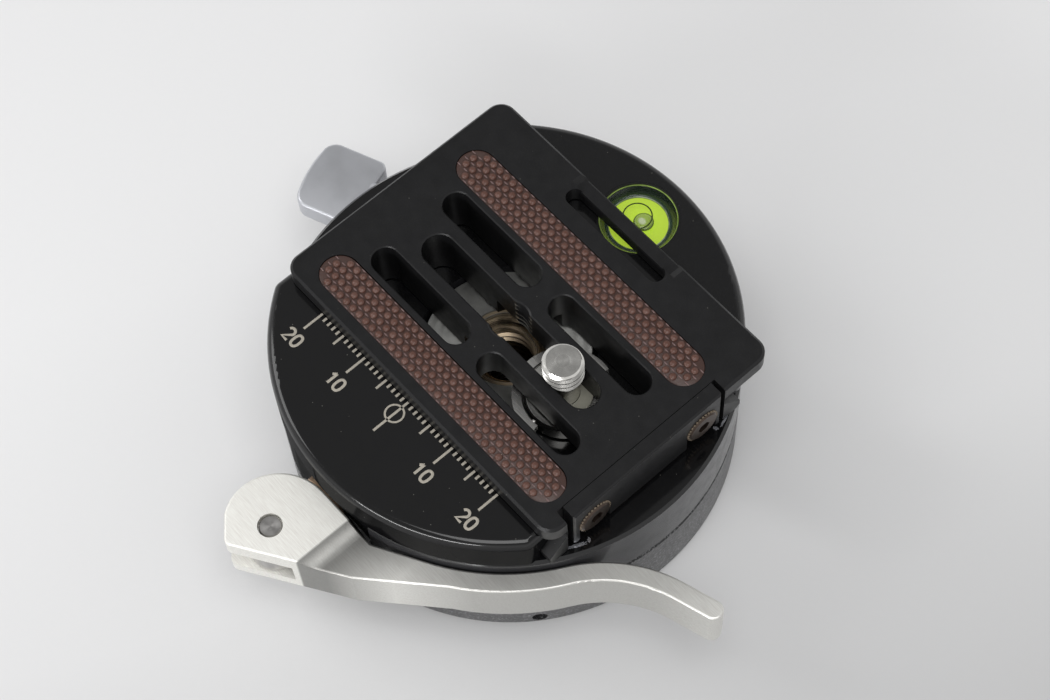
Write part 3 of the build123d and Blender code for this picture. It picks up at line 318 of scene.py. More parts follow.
def blasted_metal(name, colour, roughness):
    """Fine blasted and clear anodised metal."""
    finish = Finish(name, colour, roughness, metallic=1.0)
    pores = finish.noise(9, 2, 0.6)
    clouds = finish.ranged(finish.noise(0.2, 3), 0.35, 0.65)
    finish.colour(finish.mixed(clouds, shade(colour, 0.93), shade(colour, 1.05)))
    finish.rough(finish.ranged(pores, 0.3, 0.7, roughness - 0.03, roughness + 0.06))
    finish.bump(pores, 0.005)
    return finish


def moulded_plastic(name, colour, roughness):
    """Plain moulded or machined plastic with a faint texture."""
    finish = Finish(name, colour, roughness)
    texture = finish.noise(3, 3, 0.6)
    finish.colour(finish.mixed(finish.ranged(texture, 0.3, 0.7), shade(colour, 0.92), colour))
    finish.bump(texture, 0.006)
    return finish


def printed_ink(name, colour):
    """Engraved and filled marks, a little uneven."""
    finish = Finish(name, colour, 0.6, specular=0.3)
    uneven = finish.noise(2.5, 3)
    finish.colour(finish.mixed(finish.ranged(uneven, 0.3, 0.7), shade(colour, 0.8), colour))
    finish.bump(uneven, 0.01)
    return finish


# Mesh work

def mesh_object(name, bm, material, angle=32.0):
    """A plain mesh object at the origin, smooth but for its edges."""
    for face in bm.faces:
        face.smooth = True
    for edge in bm.edges:
        edge.smooth = len(edge.link_faces) == 2 and edge.calc_face_angle(0) < math.radians(angle)
    mesh = bpy.data.meshes.new(name)
    bm.to_mesh(mesh)
    bm.free()
    mesh.materials.append(material)
    return linked(name, mesh)


def settle(piece, body, slot, *nodes):
    """Lets a finished piece move with its body and stand for its nodes, which it hides; its slot is not used.
    """
    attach(piece, body)
    if nodes:
        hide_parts(*nodes)


def outward(bm):
    """Turns every face outwards."""
    bmesh.ops.recalc_face_normals(bm, faces=bm.faces)


def circle_of(bm, radius, height, centre, steps=ROUND):
    """New points in a level circle, in millimetres."""
    return [bm.verts.new(mm(centre[0] + radius * math.cos(a), centre[1] + radius * math.sin(a), height))
            for a in (2 * math.pi * i / steps for i in range(steps))]


def band(bm, low, high):
    """Faces between two circles of points, one of which may be a single point."""
    steps = max(len(low), len(high))
    for i in range(steps):
        j = (i + 1) % steps
        corners = [low[i % len(low)], low[j % len(low)], high[j % len(high)], high[i % len(high)]]
        bm.faces.new(list(dict.fromkeys(corners)))


def spun(bm, profile, centre, steps=ROUND):
    """Adds a closed shape of revolution from its outline, in millimetres."""
    rows = [circle_of(bm, radius, height, centre, steps if radius else 1) for radius, height in profile]
    closed = profile[0][0] > 0
    for low, high in zip(rows, rows[1:] + rows[:1] if closed else rows[1:]):
        band(bm, low, high)


def wound_thread(bm, crest, root, pitch, bottom, top, centre, limit):
    """Adds the surface of a helical thread, cut square. The limit holds its radius at a height."""
    rows, crest_flat, flank_run = 12, 0.14, 0.64
    merge = 0.0005 * MM
    span_rows = rows * int(math.ceil((top - bottom) / pitch) + 2)
    grid = []
    for i in range(ROUND + 1):
        a = 2 * math.pi * i / ROUND
        column = []
        for j in range(span_rows + 1):
            height = bottom - 1.5 * pitch + (j / rows + i / ROUND) * pitch
            flank = abs(((j / rows) % 1.0) - 0.5) * 2
            depth = min(1, max(0, (flank - crest_flat) / flank_run))
            r = limit(crest + (root - crest) * depth, height)
            column.append(bm.verts.new(mm(centre[0] + r * math.cos(a), centre[1] + r * math.sin(a), height)))
        grid.append(column)
    for i in range(ROUND):
        for j in range(span_rows):
            bm.faces.new([grid[i][j], grid[i + 1][j], grid[i + 1][j + 1], grid[i][j + 1]])
    bmesh.ops.remove_doubles(bm, verts=bm.verts, dist=merge)
    for height, side in ((bottom, -1), (top, 1)):
        bmesh.ops.bisect_plane(bm, geom=bm.verts[:] + bm.edges[:] + bm.faces[:], dist=0.0001 * MM,
                               plane_co=mm(0, 0, height), plane_no=UP * side, clear_outer=True)
    bmesh.ops.dissolve_degenerate(bm, dist=merge, edges=bm.edges)


def copied(node):
    """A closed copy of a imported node's mesh."""
    bm = bmesh.new()
    bm.from_mesh(frame["nodes"][node].data)
    bmesh.ops.remove_doubles(bm, verts=bm.verts, dist=0.001 * MM)
    return bm


# Geometry node recipes

class Recipe:
    """A geometry node tree with named sizes, cooked into a plain mesh."""

    def __init__(self, name):
        self.name = name
        self.tree = bpy.data.node_groups.new(name, "GeometryNodeTree")
        self.tree.interface.new_socket("Geometry", in_out="OUTPUT", socket_type="NodeSocketGeometry")
        self.sizes = self.tree.nodes.new("NodeGroupInput")
        self.result = self.tree.nodes.new("NodeGroupOutput")
        self.values = {}

    def size(self, name, value, kind="NodeSocketFloat"):
        """A named input, with the value that this clamp has."""
        socket = self.tree.interface.new_socket(name, in_out="INPUT", socket_type=kind)
        self.values[socket.identifier] = value
        return next(s for s in self.sizes.outputs if s.identifier == socket.identifier)

    def add(self, kind, inputs=None, **settings):
        """The first output of a new node."""
        return add_node(self.tree, kind, inputs, **settings).outputs[0]

    def calc(self, operation, first, second=0.0):
        return self.add("ShaderNodeMath", {0: first, 1: second}, operation=operation)

    def choice(self, condition, no, yes):
        return self.add("GeometryNodeSwitch", {"Switch": condition, "False": no, "True": yes},
                        input_type="FLOAT")

    def point(self, x=0.0, y=0.0, z=0.0):
        return self.add("ShaderNodeCombineXYZ", {"X": x, "Y": y, "Z": z})

    def joined(self, *shapes):
        node = self.tree.nodes.new("GeometryNodeJoinGeometry")
        for shape in shapes:
            self.tree.links.new(shape, node.inputs[0])
        return node.outputs[0]

    def moved(self, shape, translation=(0, 0, 0), rotation=(0, 0, 0), scale=(1, 1, 1)):
        return self.add("GeometryNodeTransform", {"Geometry": shape, "Translation": translation,
                                                  "Rotation": rotation, "Scale": scale})

    def repeated(self, shape, points, scale=(1, 1, 1)):
        """A shape set on each of the points."""
        return self.add("GeometryNodeInstanceOnPoints", {"Points": points, "Instance": shape, "Scale": scale})

    def cook(self, shape, material, smooth=True):
        """The mesh that the tree gives, with its instances made real and its material set."""
        shape = self.add("GeometryNodeRealizeInstances", {"Geometry": shape})
        shape = self.add("GeometryNodeSetShadeSmooth", {"Geometry": shape, "Shade Smooth": smooth})
        shape = self.add("GeometryNodeSetMaterial", {"Geometry": shape, "Material": material})
        self.tree.links.new(shape, self.result.inputs[0])
        blank = linked(self.name, bpy.data.meshes.new(self.name))
        modifier = blank.modifiers.new(self.name, "NODES")
        modifier.node_group = self.tree
        for identifier, value in self.values.items():
            modifier[identifier] = value
        mesh = bpy.data.meshes.new_from_object(blank.evaluated_get(bpy.context.evaluated_depsgraph_get()))
        blank.modifiers.remove(modifier)
        bpy.data.objects.remove(blank)
        if not mesh.polygons:
            raise RuntimeError(f"{self.name} came out empty")
        return mesh

    def piece(self, name, shape, material, smooth=True):
        """The cooked mesh as a piece of its own."""
        mesh = self.cook(shape, material, smooth)
        mesh.name = name
        mesh.materials.clear()
        mesh.materials.append(material)
        for polygon in mesh.polygons:
            polygon.material_index = 0
        return linked(name, mesh)


# Sizes and colours that a user would change

def tint(name, text, value):
    return FloatVectorProperty(name=name, description=text, subtype="COLOR", size=3, min=0, max=1,
                               default=value)


def span(name, text, value):
    return FloatProperty(name=name, description=text, unit="LENGTH", precision=5, default=value * MM)


def angle(name, text, degrees):
    return FloatProperty(name=name, description=text, subtype="ANGLE", default=math.radians(degrees))


def amount(name, text, value):
    return FloatProperty(name=name, description=text, default=value)


class ClampColours(PropertyGroup):
    base_black: tint("Base black", "Fixed base, anodised and lightly speckled", seen(36, 36, 37))
    base_side: tint("Base side", "Side of the fixed base", seen(87, 87, 88))
    gloss_black: tint("Gloss black", "Tops of the clamp body and jaws", seen(9, 9, 10))
    gloss_side: tint("Gloss black side", "Side of the clamp body", seen(60, 60, 62))
    jaw_side: tint("Jaw side", "Side of the moving jaw", seen(18, 18, 19))
    plate_black: tint("Plate black", "Camera plate and stop bar", seen(22, 22, 23))
    plate_side: tint("Plate side", "Edges of the camera plate", seen(24, 24, 25))
    lever_steel: tint("Lever steel", "Clamp lever", (0.95, 0.93, 0.885))
    knob_silver: tint("Knob silver", "Pan lock knob", (0.58, 0.59, 0.62))
    strip_brown: tint("Strip brown", "Grip strips", seen(86, 52, 40))
    ink: tint("Ruler ink", "Ruler marks and numbers", seen(176, 170, 158))
    fluid: tint("Level fluid", "Bright disc of the level", seen(184, 214, 62))
    bronze: tint("Bronze", "Threaded bush", (0.62, 0.49, 0.34))


class RulerSizes(PropertyGroup):
    step: span("Step", "Distance between two marks", 1.0)
    count: IntProperty(name="Marks", description="Number of marks", default=41, min=3)
    near: span("Near end", "Place of the near ends of the marks", -19.1)
    short: span("Short mark", "Length of a plain mark", 0.8)
    half: span("Half mark", "Length of each fifth mark", 2.1)
    full: span("Full mark", "Length of each tenth mark", 3.7)
    zero: span("Zero mark", "Length of the mark at zero", 6.8)
    width: span("Width", "Width of a mark", 0.39)
    ring: span("Ring radius", "Radius of the ring on the zero mark", 1.43)
    ring_line: span("Ring line", "Width of the line of that ring", 0.3)
    ring_place: span("Ring place", "Place of the centre of that ring", -21.8)
    figure: span("Figure height", "Height of the numbers", 2.5)
    figure_width: span("Figure width", "Width of one figure", 1.62)
    figure_gap: span("Figure gap", "Gap between two figures", 0.12)
    figure_line: span("Figure line", "Width of the strokes of the figures", 0.44)
    figure_place: span("Figure place", "Place of the middle of the numbers", -24.9)


class StripSizes(PropertyGroup):
    pitch: span("Pitch", "Distance between two dots", 1.5)
    dot: span("Dot radius", "Radius of a dot", 0.64)
    dot_height: span("Dot height", "Height of a dot", 0.42)
    dash_length: span("Dash length", "Length of the shiny dash between four dots", 0.95)
    dash_width: span("Dash width", "Width of that dash", 0.24)


class ThreadSizes(PropertyGroup):
    screw_pitch: span("Screw pitch", "Pitch of the camera screw", SCREW_PITCH)
    screw_depth: span("Screw depth", "Depth of the thread of the camera screw", 0.66)
    bush_pitch: span("Bush pitch", "Pitch of the thread in the bush", 1.5875)
    bush_depth: span("Bush depth", "Depth of the thread in the bush", 0.82)
    ribs: IntProperty(name="Ribs", description="Ribs round the head of a bar screw", default=30, min=6)
    rib: span("Rib", "Radius of a rib", 0.2)


class LevelSizes(PropertyGroup):
    disc: span("Disc", "Radius of the bright disc", 4.6)
    disc_top: span("Disc top", "Height of the bright disc", 29.7)
    circle: span("Circle", "Radius of the printed circle", 2.25)
    line: span("Line", "Width of the printed circle", 0.22)
    bubble: span("Bubble", "Radius of the bubble", 1.6)


class StageSettings(PropertyGroup):
    key_power: amount("Key power", "Power of the large lamp in watts", 0.62)
    rim_power: amount("Rim power", "Power of the low long lamp in watts", 1.15)
    fill_power: amount("Fill power", "Power of the lamp above the camera in watts", 4.7)
    world_light: amount("Surrounding light", "Strength of the light all round", 0.44)
    world_white: amount("Surroundings", "Brightness of what the camera sees", 0.86)
    world_top: amount("Surroundings above", "The same, overhead", 0.34)
    floor: tint("Floor", "Colour of the floor", (0.86, 0.86, 0.865))
    azimuth: angle("Azimuth", "Direction of the camera", 52.195)
    elevation: angle("Elevation", "Height of the camera above the horizon", 63.243)
    roll: angle("Roll", "Turn of the camera round its own axis", -4.197)
    distance: span("Distance", "From the camera to the point it looks at", 370.35)
    lens: amount("Lens", "Focal length in millimetres", 80.89)


# Operators

# Nicks on the rim of the body, bare metal partly from wear and partly painted glint: centre and half sizes in
# millimetres, and turn in degrees
CHIPS_AND_GLINTS = (((31.3, -14.4, 24.4), (1.85, 0.2, 1.2), 68), ((31.7, -14.0, 24.4), (1.2, 0.1, 1.2), 64),
         ((32.0, -12.2, 24.4), (0.42, 0.22, 1.2), -30), ((31.4, 15.7, 24.4), (1.25, 0.16, 1.2), -72),
         ((31.5, 13.9, 24.4), (0.4, 0.25, 1.2), 20))

# Painted highlight: brightness painted into the lever's colour where the lamps' highlight falls, and its
# roughness, at places along X: its head, the step down, then its curved arm
LEVER_PAINTED_SHEEN = ((-12, 1), (5.2, 1), (5.5, 0.36), (9, 0.36), (17, 1), (26, 0.68), (35, 0.68), (43, 0.68),
               (53, 0.9))
LEVER_DULL = ((-12, 0.6), (5.2, 0.6), (5.5, 0.42))


def dress(finish, *nodes):
    """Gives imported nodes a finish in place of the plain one."""
    for node in nodes:
        for slot in frame["nodes"][node].material_slots:
            slot.material = finish.material


class CLAMP_OT_castings(Operator):
    """Finishes the black anodised base, body, jaw, plate and bar"""
    bl_idname = "clamp.finish_castings"
    bl_label = "Black parts"

    def execute(self, context):
        colours = context.scene.clamp_colours
        dress(black_anodised("Base anodised", colours.base_black, colours.base_side, 0.42, 0.5, 1.0, 0.03,
                             per_mm=2.6), "base_disc")
        dress(worn_gloss("Body gloss black", colours, CHIPS_AND_GLINTS), "pan_body")
        dress(black_anodised("Jaw gloss black", colours.gloss_black, colours.jaw_side, 0.2, 0.1, 0.06, 0.0005,
                             dust=0.6, coat=0.9, side_shine=0), "moving_jaw")
        dress(black_anodised("Bezel black", colours.gloss_black, colours.gloss_side, 0.3, 0.4, 0.1, 0.001),
              "level_bezel")
        dress(plate_finish("Plate anodised", colours), "stop_bar")

        # The tapped hole in the plate shows bare metal on the crests of its thread
        hole, hole_edge, brim = (1.1, 0, 0), 3.2, 34.3
        plate = plate_finish("Plate with bare thread", colours)
        height = plate.parts(plate.place)[2]
        inside = plate.calc("MULTIPLY", plate.ranged(plate.away(hole), hole_edge, hole_edge + 0.1, 1, 0),
                            plate.ranged(height, brim, brim + 0.2, 1, 0))
        crests = plate.ranged(plate.calc("PINGPONG", height, SCREW_PITCH / 2), 0.3, 0.5)
        bare = plate.calc("MULTIPLY", inside, crests)
        plate.overlay(bare, seen(200, 198, 190))
        plate.put("Metallic", bare)
        dress(plate, "camera_plate")
        return {"FINISHED"}


class CLAMP_OT_metals(Operator):
    """Finishes the lever, knob, hub, discs, pins, springs and the hidden plastic rings"""
    bl_idname = "clamp.finish_metals"
    bl_label = "Bare metal parts"

    def execute(self, context):
        colours = context.scene.clamp_colours
        dress(brushed_metal("Brushed lever steel", colours.lever_steel, 0.42, depth=0.003, swing=0.02,
                            painted_sheen=LEVER_PAINTED_SHEEN, dull=LEVER_DULL), "lever")
        dress(brushed_metal("Ring steel", (0.62, 0.61, 0.59), 0.28), "screw_ring")
        dress(turned_metal("Ground pin steel", (0.4, 0.39, 0.38), 0.35, (-1.8, -45.3, 0)), "lever_pin")
        dress(turned_metal("Turned hub", (0.16, 0.16, 0.15), 0.4, depth=0), "hub", "clamp_plate")
        dress(turned_metal("Turned disc", (0.46, 0.46, 0.44), 0.4, depth=0, per_mm=1.2), "retaining_disc")
        dress(turned_metal("Plain steel", (0.45, 0.44, 0.43), 0.36), "base_grub", "clamp_plate_screws",
              "disc_screws", "draw_bolt", "bolt_grub", "guide_pins", "jaw_springs", "lock_stud")
        dress(blasted_metal("Blasted knob", colours.knob_silver, 0.42), "lock_knob")
        dress(blasted_metal("Worn oxide", seen(84, 73, 66), 0.34), "bar_screws")
        dress(blasted_metal("Sintered bronze", (0.4, 0.28, 0.19), 0.45), "cam_pad", "lock_bush", "lock_shoe")
        dress(moulded_plastic("Bearing plastic", (0.86, 0.86, 0.83), 0.5), "slide_ring", "thrust_washer")
        dress(moulded_plastic("Natural nylon", (0.42, 0.41, 0.34), 0.3), "neck_washer")
        return {"FINISHED"}


class CLAMP_OT_ruler(Operator):
    """Marks the ruler on the moving jaw"""
    bl_idname = "clamp.mark_ruler"
    bl_label = "Ruler marks"

    def execute(self, context):
        sizes = context.scene.ruler_sizes
        ink = printed_ink("Ruler filling", context.scene.clamp_colours.ink).material
        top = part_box("moving_jaw")[1].z
        thickness = 0.04 * MM
        recipe = Recipe("Ruler")
        step = recipe.size("Step", sizes.step)
        count = recipe.size("Marks", sizes.count, "NodeSocketInt")
        near = recipe.size("Near end", sizes.near)
        short = recipe.size("Short", sizes.short)
        half = recipe.size("Half", sizes.half)
        full = recipe.size("Full", sizes.full)
        zero = recipe.size("Zero", sizes.zero)
        width = recipe.size("Width", sizes.width)
        height = recipe.size("Height", top)
        last = recipe.calc("SUBTRACT", count, 1.0)
        start = recipe.calc("MULTIPLY", last, recipe.calc("MULTIPLY", step, -0.5))
        line = recipe.add("GeometryNodeMeshLine", {
            "Count": count, "Start Location": recipe.point(start, near, height),
            "Offset": recipe.point(step)}, mode="OFFSET")
        index = recipe.add("GeometryNodeInputIndex")
        length = short
        for every, longer in ((5.0, half), (10.0, full)):
            chosen = recipe.calc("LESS_THAN", recipe.calc("MODULO", index, every), 0.5)
            length = recipe.choice(chosen, length, longer)
        centre = recipe.calc("COMPARE", index, recipe.calc("MULTIPLY", last, 0.5))
        length = recipe.choice(centre, length, zero)
        mark = recipe.add("GeometryNodeMeshCube", {"Size": (1, 1, thickness)})
        mark = recipe.moved(mark, translation=(0, -0.5, 0))
        marks = recipe.repeated(mark, line, recipe.point(width, length, 1.0))
        ring = recipe.add("GeometryNodeCurvePrimitiveCircle", {
            "Resolution": 64, "Radius": recipe.size("Ring radius", sizes.ring)}, mode="RADIUS")
        profile = recipe.add("GeometryNodeCurvePrimitiveQuadrilateral", {
            "Width": recipe.size("Ring line", sizes.ring_line), "Height": thickness}, mode="RECTANGLE")
        ring = recipe.add("GeometryNodeCurveToMesh", {"Curve": ring, "Profile Curve": profile,
                                                      "Fill Caps": True})
        ring = recipe.moved(ring, recipe.point(0.0, recipe.size("Ring place", sizes.ring_place), height))
        settle(recipe.piece("ruler_marks", recipe.joined(marks, ring), ink, smooth=False),
               "jaw", "knob_silver")
        return {"FINISHED"}


def figure_strokes(figure, width, height):
    """The strokes of a plain figure, as lines of points round its middle."""
    if figure == "0":
        squareness = 0.8
        turns = [2 * math.pi * i / 40 for i in range(41)]
        return [[(width / 2 * math.copysign(abs(math.cos(a)) ** squareness, math.cos(a)),
                  height / 2 * math.copysign(abs(math.sin(a)) ** squareness, math.sin(a))) for a in turns]]
    if figure == "1":
        stem = width * 0.16
        flag = (-width * 0.3, height * 0.24)
        return [[(stem, -height / 2), (stem, height / 2)], [flag, (stem, height / 2)]]
    bow_middle, bow_half = height * 0.22, height * 0.28
    bow = [(width / 2 * math.cos(math.radians(a)), bow_middle + bow_half * math.sin(math.radians(a)))
           for a in range(165, -40, -15)]
    return [bow + [(-width / 2, -height / 2), (width / 2, -height / 2)]]


def stroke_ribbon(bm, line, half, height, place):
    """A flat raised stroke of even width with round ends, along a line of points."""
    curve = bpy.data.curves.new("stroke", "CURVE")
    curve.dimensions = "3D"
    spline = curve.splines.new("POLY")
    closed = math.dist(line[0], line[-1]) < 1e-9
    points = line[:-1] if closed else line
    spline.points.add(len(points) - 1)
    for point, (px, py) in zip(spline.points, points):
        point.co = (px, py, 0, 1)
    spline.use_cyclic_u = closed
    curve.bevel_depth = half
    curve.bevel_resolution = 3
    curve.use_fill_caps = True
    piece = linked("stroke", curve)
    mesh = bpy.data.meshes.new_from_object(piece.evaluated_get(bpy.context.evaluated_depsgraph_get()))
    mesh.transform(Matrix.Translation(place) @ Matrix.Diagonal((1, 1, height / half, 1)))
    bm.from_mesh(mesh)
    bpy.data.objects.remove(piece)
    bpy.data.meshes.remove(mesh)
    bpy.data.curves.remove(curve)


class CLAMP_OT_figures(Operator):
    """Writes the numbers of the ruler"""
    bl_idname = "clamp.number_ruler"
    bl_label = "Ruler numbers"

    def execute(self, context):
        sizes = context.scene.ruler_sizes
        ink = bpy.data.materials["Ruler filling"]
        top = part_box("moving_jaw")[1].z
        proud = 0.03 * MM
        half = sizes.figure_line / 2
        height = sizes.figure - sizes.figure_line
        width = sizes.figure_width - sizes.figure_line
        shapes = bmesh.new()
        for number in (-20, -10, 10, 20):
            for figure, side in zip(str(abs(number)), (-1, 1)):
                place = Vector((number * MM + side * (sizes.figure_width + sizes.figure_gap) / 2,
                                sizes.figure_place, top))
                for line in figure_strokes(figure, width, height):
                    stroke_ribbon(shapes, line, half, proud, place)
        bmesh.ops.remove_doubles(shapes, verts=shapes.verts, dist=0.0005 * MM)
        outward(shapes)
        settle(mesh_object("ruler_numbers", shapes, ink, 60), "jaw", "knob_silver")
        return {"FINISHED"}


def slot_outline(bm, centre, length, width, height):
    """One face with round ends, along X."""
    steps = 14
    half = length / 2 - width / 2
    corners = []
    for side, start in ((1, -90), (-1, 90)):
        for i in range(steps + 1):
            a = math.radians(start + 180 * i / steps)
            corners.append(bm.verts.new(Vector((centre.x + side * half + width / 2 * math.cos(a),
                                                centre.y + width / 2 * math.sin(a), height))))
    return bm.faces.new(corners)


class CLAMP_OT_strips(Operator):
    """Moulds the rubber grip strips with their dots and dashes"""
    bl_idname = "clamp.mould_strips"
    bl_label = "Grip strips"

    def execute(self, context):
        sizes = context.scene.strip_sizes
        brown = context.scene.clamp_colours.strip_brown
        low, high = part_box("grip_strips")
        centre = middle("grip_strips")
        slot_width, clearance, rounding = 6.45 * MM, 0.1 * MM, 0.12 * MM
        length, width = high.x - low.x, slot_width - clearance
        row = high.y - width / 2
        top = high.z - sizes.dot_height

        # Brown on the dots, with painted shade darkening the rubber between them, and a pale patchy film on
        # their crowns that is partly painted highlight
        between_dots, on_dots = 34.68, 34.95
        rubber = Finish("Strip rubber", brown, 0.32, specular=0.55)
        grain = rubber.noise(4.5, 4, 0.65)
        raised = rubber.ranged(rubber.parts(rubber.place)[2], between_dots, on_dots)
        bloom_and_highlight = rubber.ranged(rubber.noise(0.35, 3), 0.4, 0.75, 0, 0.5)
        light = rubber.calc("MULTIPLY", rubber.ranged(grain, 0.45, 0.75), 0.35)
        tone = rubber.mixed(light, rubber.mixed(raised, seen(64, 44, 38), brown), shade(brown, 1.25))
        rubber.colour(rubber.mixed(rubber.calc("MULTIPLY", bloom_and_highlight, raised), tone, seen(112, 80, 70)))
        rubber.bump(grain, 0.03)

        slabs = bmesh.new()
        for side in (-1, 1):
            face = slot_outline(slabs, Vector((centre.x, side * row, 0)), length, width, low.z)
            face.normal_flip()
            lifted = bmesh.ops.extrude_face_region(slabs, geom=[face])
            bmesh.ops.translate(slabs, vec=UP * (top - low.z),
                                verts=[v for v in lifted["geom"] if isinstance(v, bmesh.types.BMVert)])
        rims = [e for e in slabs.edges if all(v.co.z > top - 0.01 * MM for v in e.verts)]
        bmesh.ops.bevel(slabs, geom=rims, offset=rounding, segments=2, profile=0.5, affect="EDGES")
        outward(slabs)
        recipe = Recipe("Strip dots")
        dot = recipe.add("GeometryNodeMeshUVSphere", {"Segments": 12, "Rings": 7, "Radius": 1.0})
        radius = recipe.size("Dot radius", sizes.dot)
        height = recipe.size("Dot height", sizes.dot_height)
        dot = recipe.moved(dot, scale=recipe.point(radius, radius, height))
        points = self.grid(recipe, sizes, length, width, row, centre.x, top, False)
        slabs.from_mesh(recipe.cook(recipe.repeated(dot, points), rubber.material))
        settle(mesh_object("grip_strip_rubber", slabs, rubber.material, 50), "plate", "strip_rubber",
               "grip_strips")

        shiny = Finish("Strip dashes", seen(116, 94, 92), 0.32, specular=0.5)
        shiny.bump(shiny.noise(5, 2), 0.01)
        shiny.rough(shiny.ranged(shiny.noise(2, 2), 0.3, 0.7, 0.22, 0.42))
        recipe = Recipe("Strip dashes")
        dash = recipe.add("GeometryNodeMeshUVSphere", {"Segments": 8, "Rings": 5, "Radius": 1.0})
        half = recipe.calc("MULTIPLY", recipe.size("Dash length", sizes.dash_length), 0.5)
        thin = recipe.calc("MULTIPLY", recipe.size("Dash width", sizes.dash_width), 0.5)
        dash = recipe.moved(dash, scale=recipe.point(half, thin, thin))
        points = self.grid(recipe, sizes, length, width, row, centre.x, top, True)
        settle(recipe.piece("grip_strip_dashes", recipe.repeated(dash, points), shiny.material),
               "plate", "strip_rubber")
        return {"FINISHED"}

    def grid(self, recipe, sizes, length, width, row, x, top, between):
        """Points in a square grid on both strips, kept clear of their round ends."""
        pitch = recipe.size("Pitch", sizes.pitch)
        across = 5 if between else 4
        along = int(length / sizes.pitch) + (0 if between else 1)
        margin = (0.1 if between else 0.45) * MM
        strips = []
        for side in (-1, 1):
            points = recipe.add("GeometryNodeMeshGrid", {
                "Size X": recipe.calc("MULTIPLY", pitch, float(along - 1)),
                "Size Y": recipe.calc("MULTIPLY", pitch, float(across - 1)),
                "Vertices X": along, "Vertices Y": across})
            place = add_node(recipe.tree, "ShaderNodeSeparateXYZ",
                             {0: recipe.add("GeometryNodeInputPosition")}).outputs
            past = recipe.calc("SUBTRACT", recipe.calc("ABSOLUTE", place["X"]), length / 2 - width / 2)
            past = recipe.calc("MAXIMUM", past, 0.0)
            far = recipe.calc("SQRT", recipe.calc("ADD", recipe.calc("MULTIPLY", past, past),
                                                  recipe.calc("MULTIPLY", place["Y"], place["Y"])))
            outside = recipe.calc("GREATER_THAN", far, width / 2 - margin)
            points = recipe.add("GeometryNodeDeleteGeometry", {"Geometry": points, "Selection": outside},
                                domain="POINT")
            strips.append(recipe.moved(points, translation=(x, side * row, top)))
        return recipe.joined(*strips)


class CLAMP_OT_bar_screws(Operator):
    """Knurls the heads of the two stop bar screws"""
    bl_idname = "clamp.knurl_bar_screws"
    bl_label = "Bar screw ribs"

    def execute(self, context):
        sizes = context.scene.thread_sizes
        low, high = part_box("bar_screws")
        radius = (high.z - low.z) / 2
        depth, inset = 1.5 * MM, 0.95 * MM
        steel = blasted_metal("Bar screw ribs", seen(122, 110, 96), 0.24).material
        recipe = Recipe("Bar screw ribs")
        ribs = recipe.size("Ribs", sizes.ribs, "NodeSocketInt")
        rib = recipe.size("Rib radius", sizes.rib)
        reach = recipe.size("Head radius", radius)
        length = recipe.size("Head height", depth)
        circle = recipe.add("GeometryNodeMeshCircle", {"Vertices": ribs, "Radius": reach}, fill_type="NONE")
        cylinder = recipe.add("GeometryNodeMeshCylinder", {"Vertices": 8, "Radius": rib, "Depth": length})
        ring = recipe.moved(recipe.repeated(cylinder, circle), rotation=(0, math.pi / 2, 0))
        heads = [recipe.moved(ring, translation=(high.x - inset, y, (low.z + high.z) / 2))
                 for y in (low.y + radius, high.y - radius)]
        settle(recipe.piece("bar_screw_ribs", recipe.joined(*heads), steel), "plate", "bar_screw_steel")
        return {"FINISHED"}


class CLAMP_OT_camera_screw(Operator):
    """Cuts the camera screw with its real thread"""
    bl_idname = "clamp.cut_camera_screw"
    bl_label = "Camera screw"

    def execute(self, context):
        sizes = context.scene.thread_sizes
        low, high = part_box("camera_screw")
        x, y = (low.x + high.x) / 2 / MM, (low.y + high.y) / 2 / MM
        start, top = 34.9, high.z / MM
        crest, core, chamfer = 3.175, 2.4, 0.5
        steel = turned_metal("Turned screw steel", (0.68, 0.67, 0.64), 0.2, (x, y, 0), 0.012, 1.3).material

        # The neck is kept below the thread, and a core joins the two
        screw = copied("camera_screw")
        cut = bmesh.ops.bisect_plane(screw, geom=screw.verts[:] + screw.edges[:] + screw.faces[:],
                                     plane_co=mm(0, 0, start - 0.15), plane_no=UP, clear_outer=True)
        bmesh.ops.holes_fill(screw, edges=[e for e in cut["geom_cut"] if isinstance(e, bmesh.types.BMEdge)])
        under, over = start - 0.6, start + 0.5
        spun(screw, [(0, under), (core, under), (core, over), (0, over)], (x, y), 48)
        thread = bmesh.new()
        root = crest - sizes.screw_depth / MM
        wound_thread(thread, crest, root, sizes.screw_pitch / MM, start, top, (x, y),
                     lambda radius, height: min(radius, crest - max(0, chamfer - (top - height))))
        bmesh.ops.holes_fill(thread, edges=[e for e in thread.edges if e.is_boundary])
        outward(thread)
        mesh = bpy.data.meshes.new("thread")
        thread.to_mesh(mesh)
        thread.free()
        screw.from_mesh(mesh)
        bpy.data.meshes.remove(mesh)
        outward(screw)
        settle(mesh_object("camera_screw_turned", screw, steel, 35), "mount_screw", "screw_steel",
               "camera_screw")
        return {"FINISHED"}


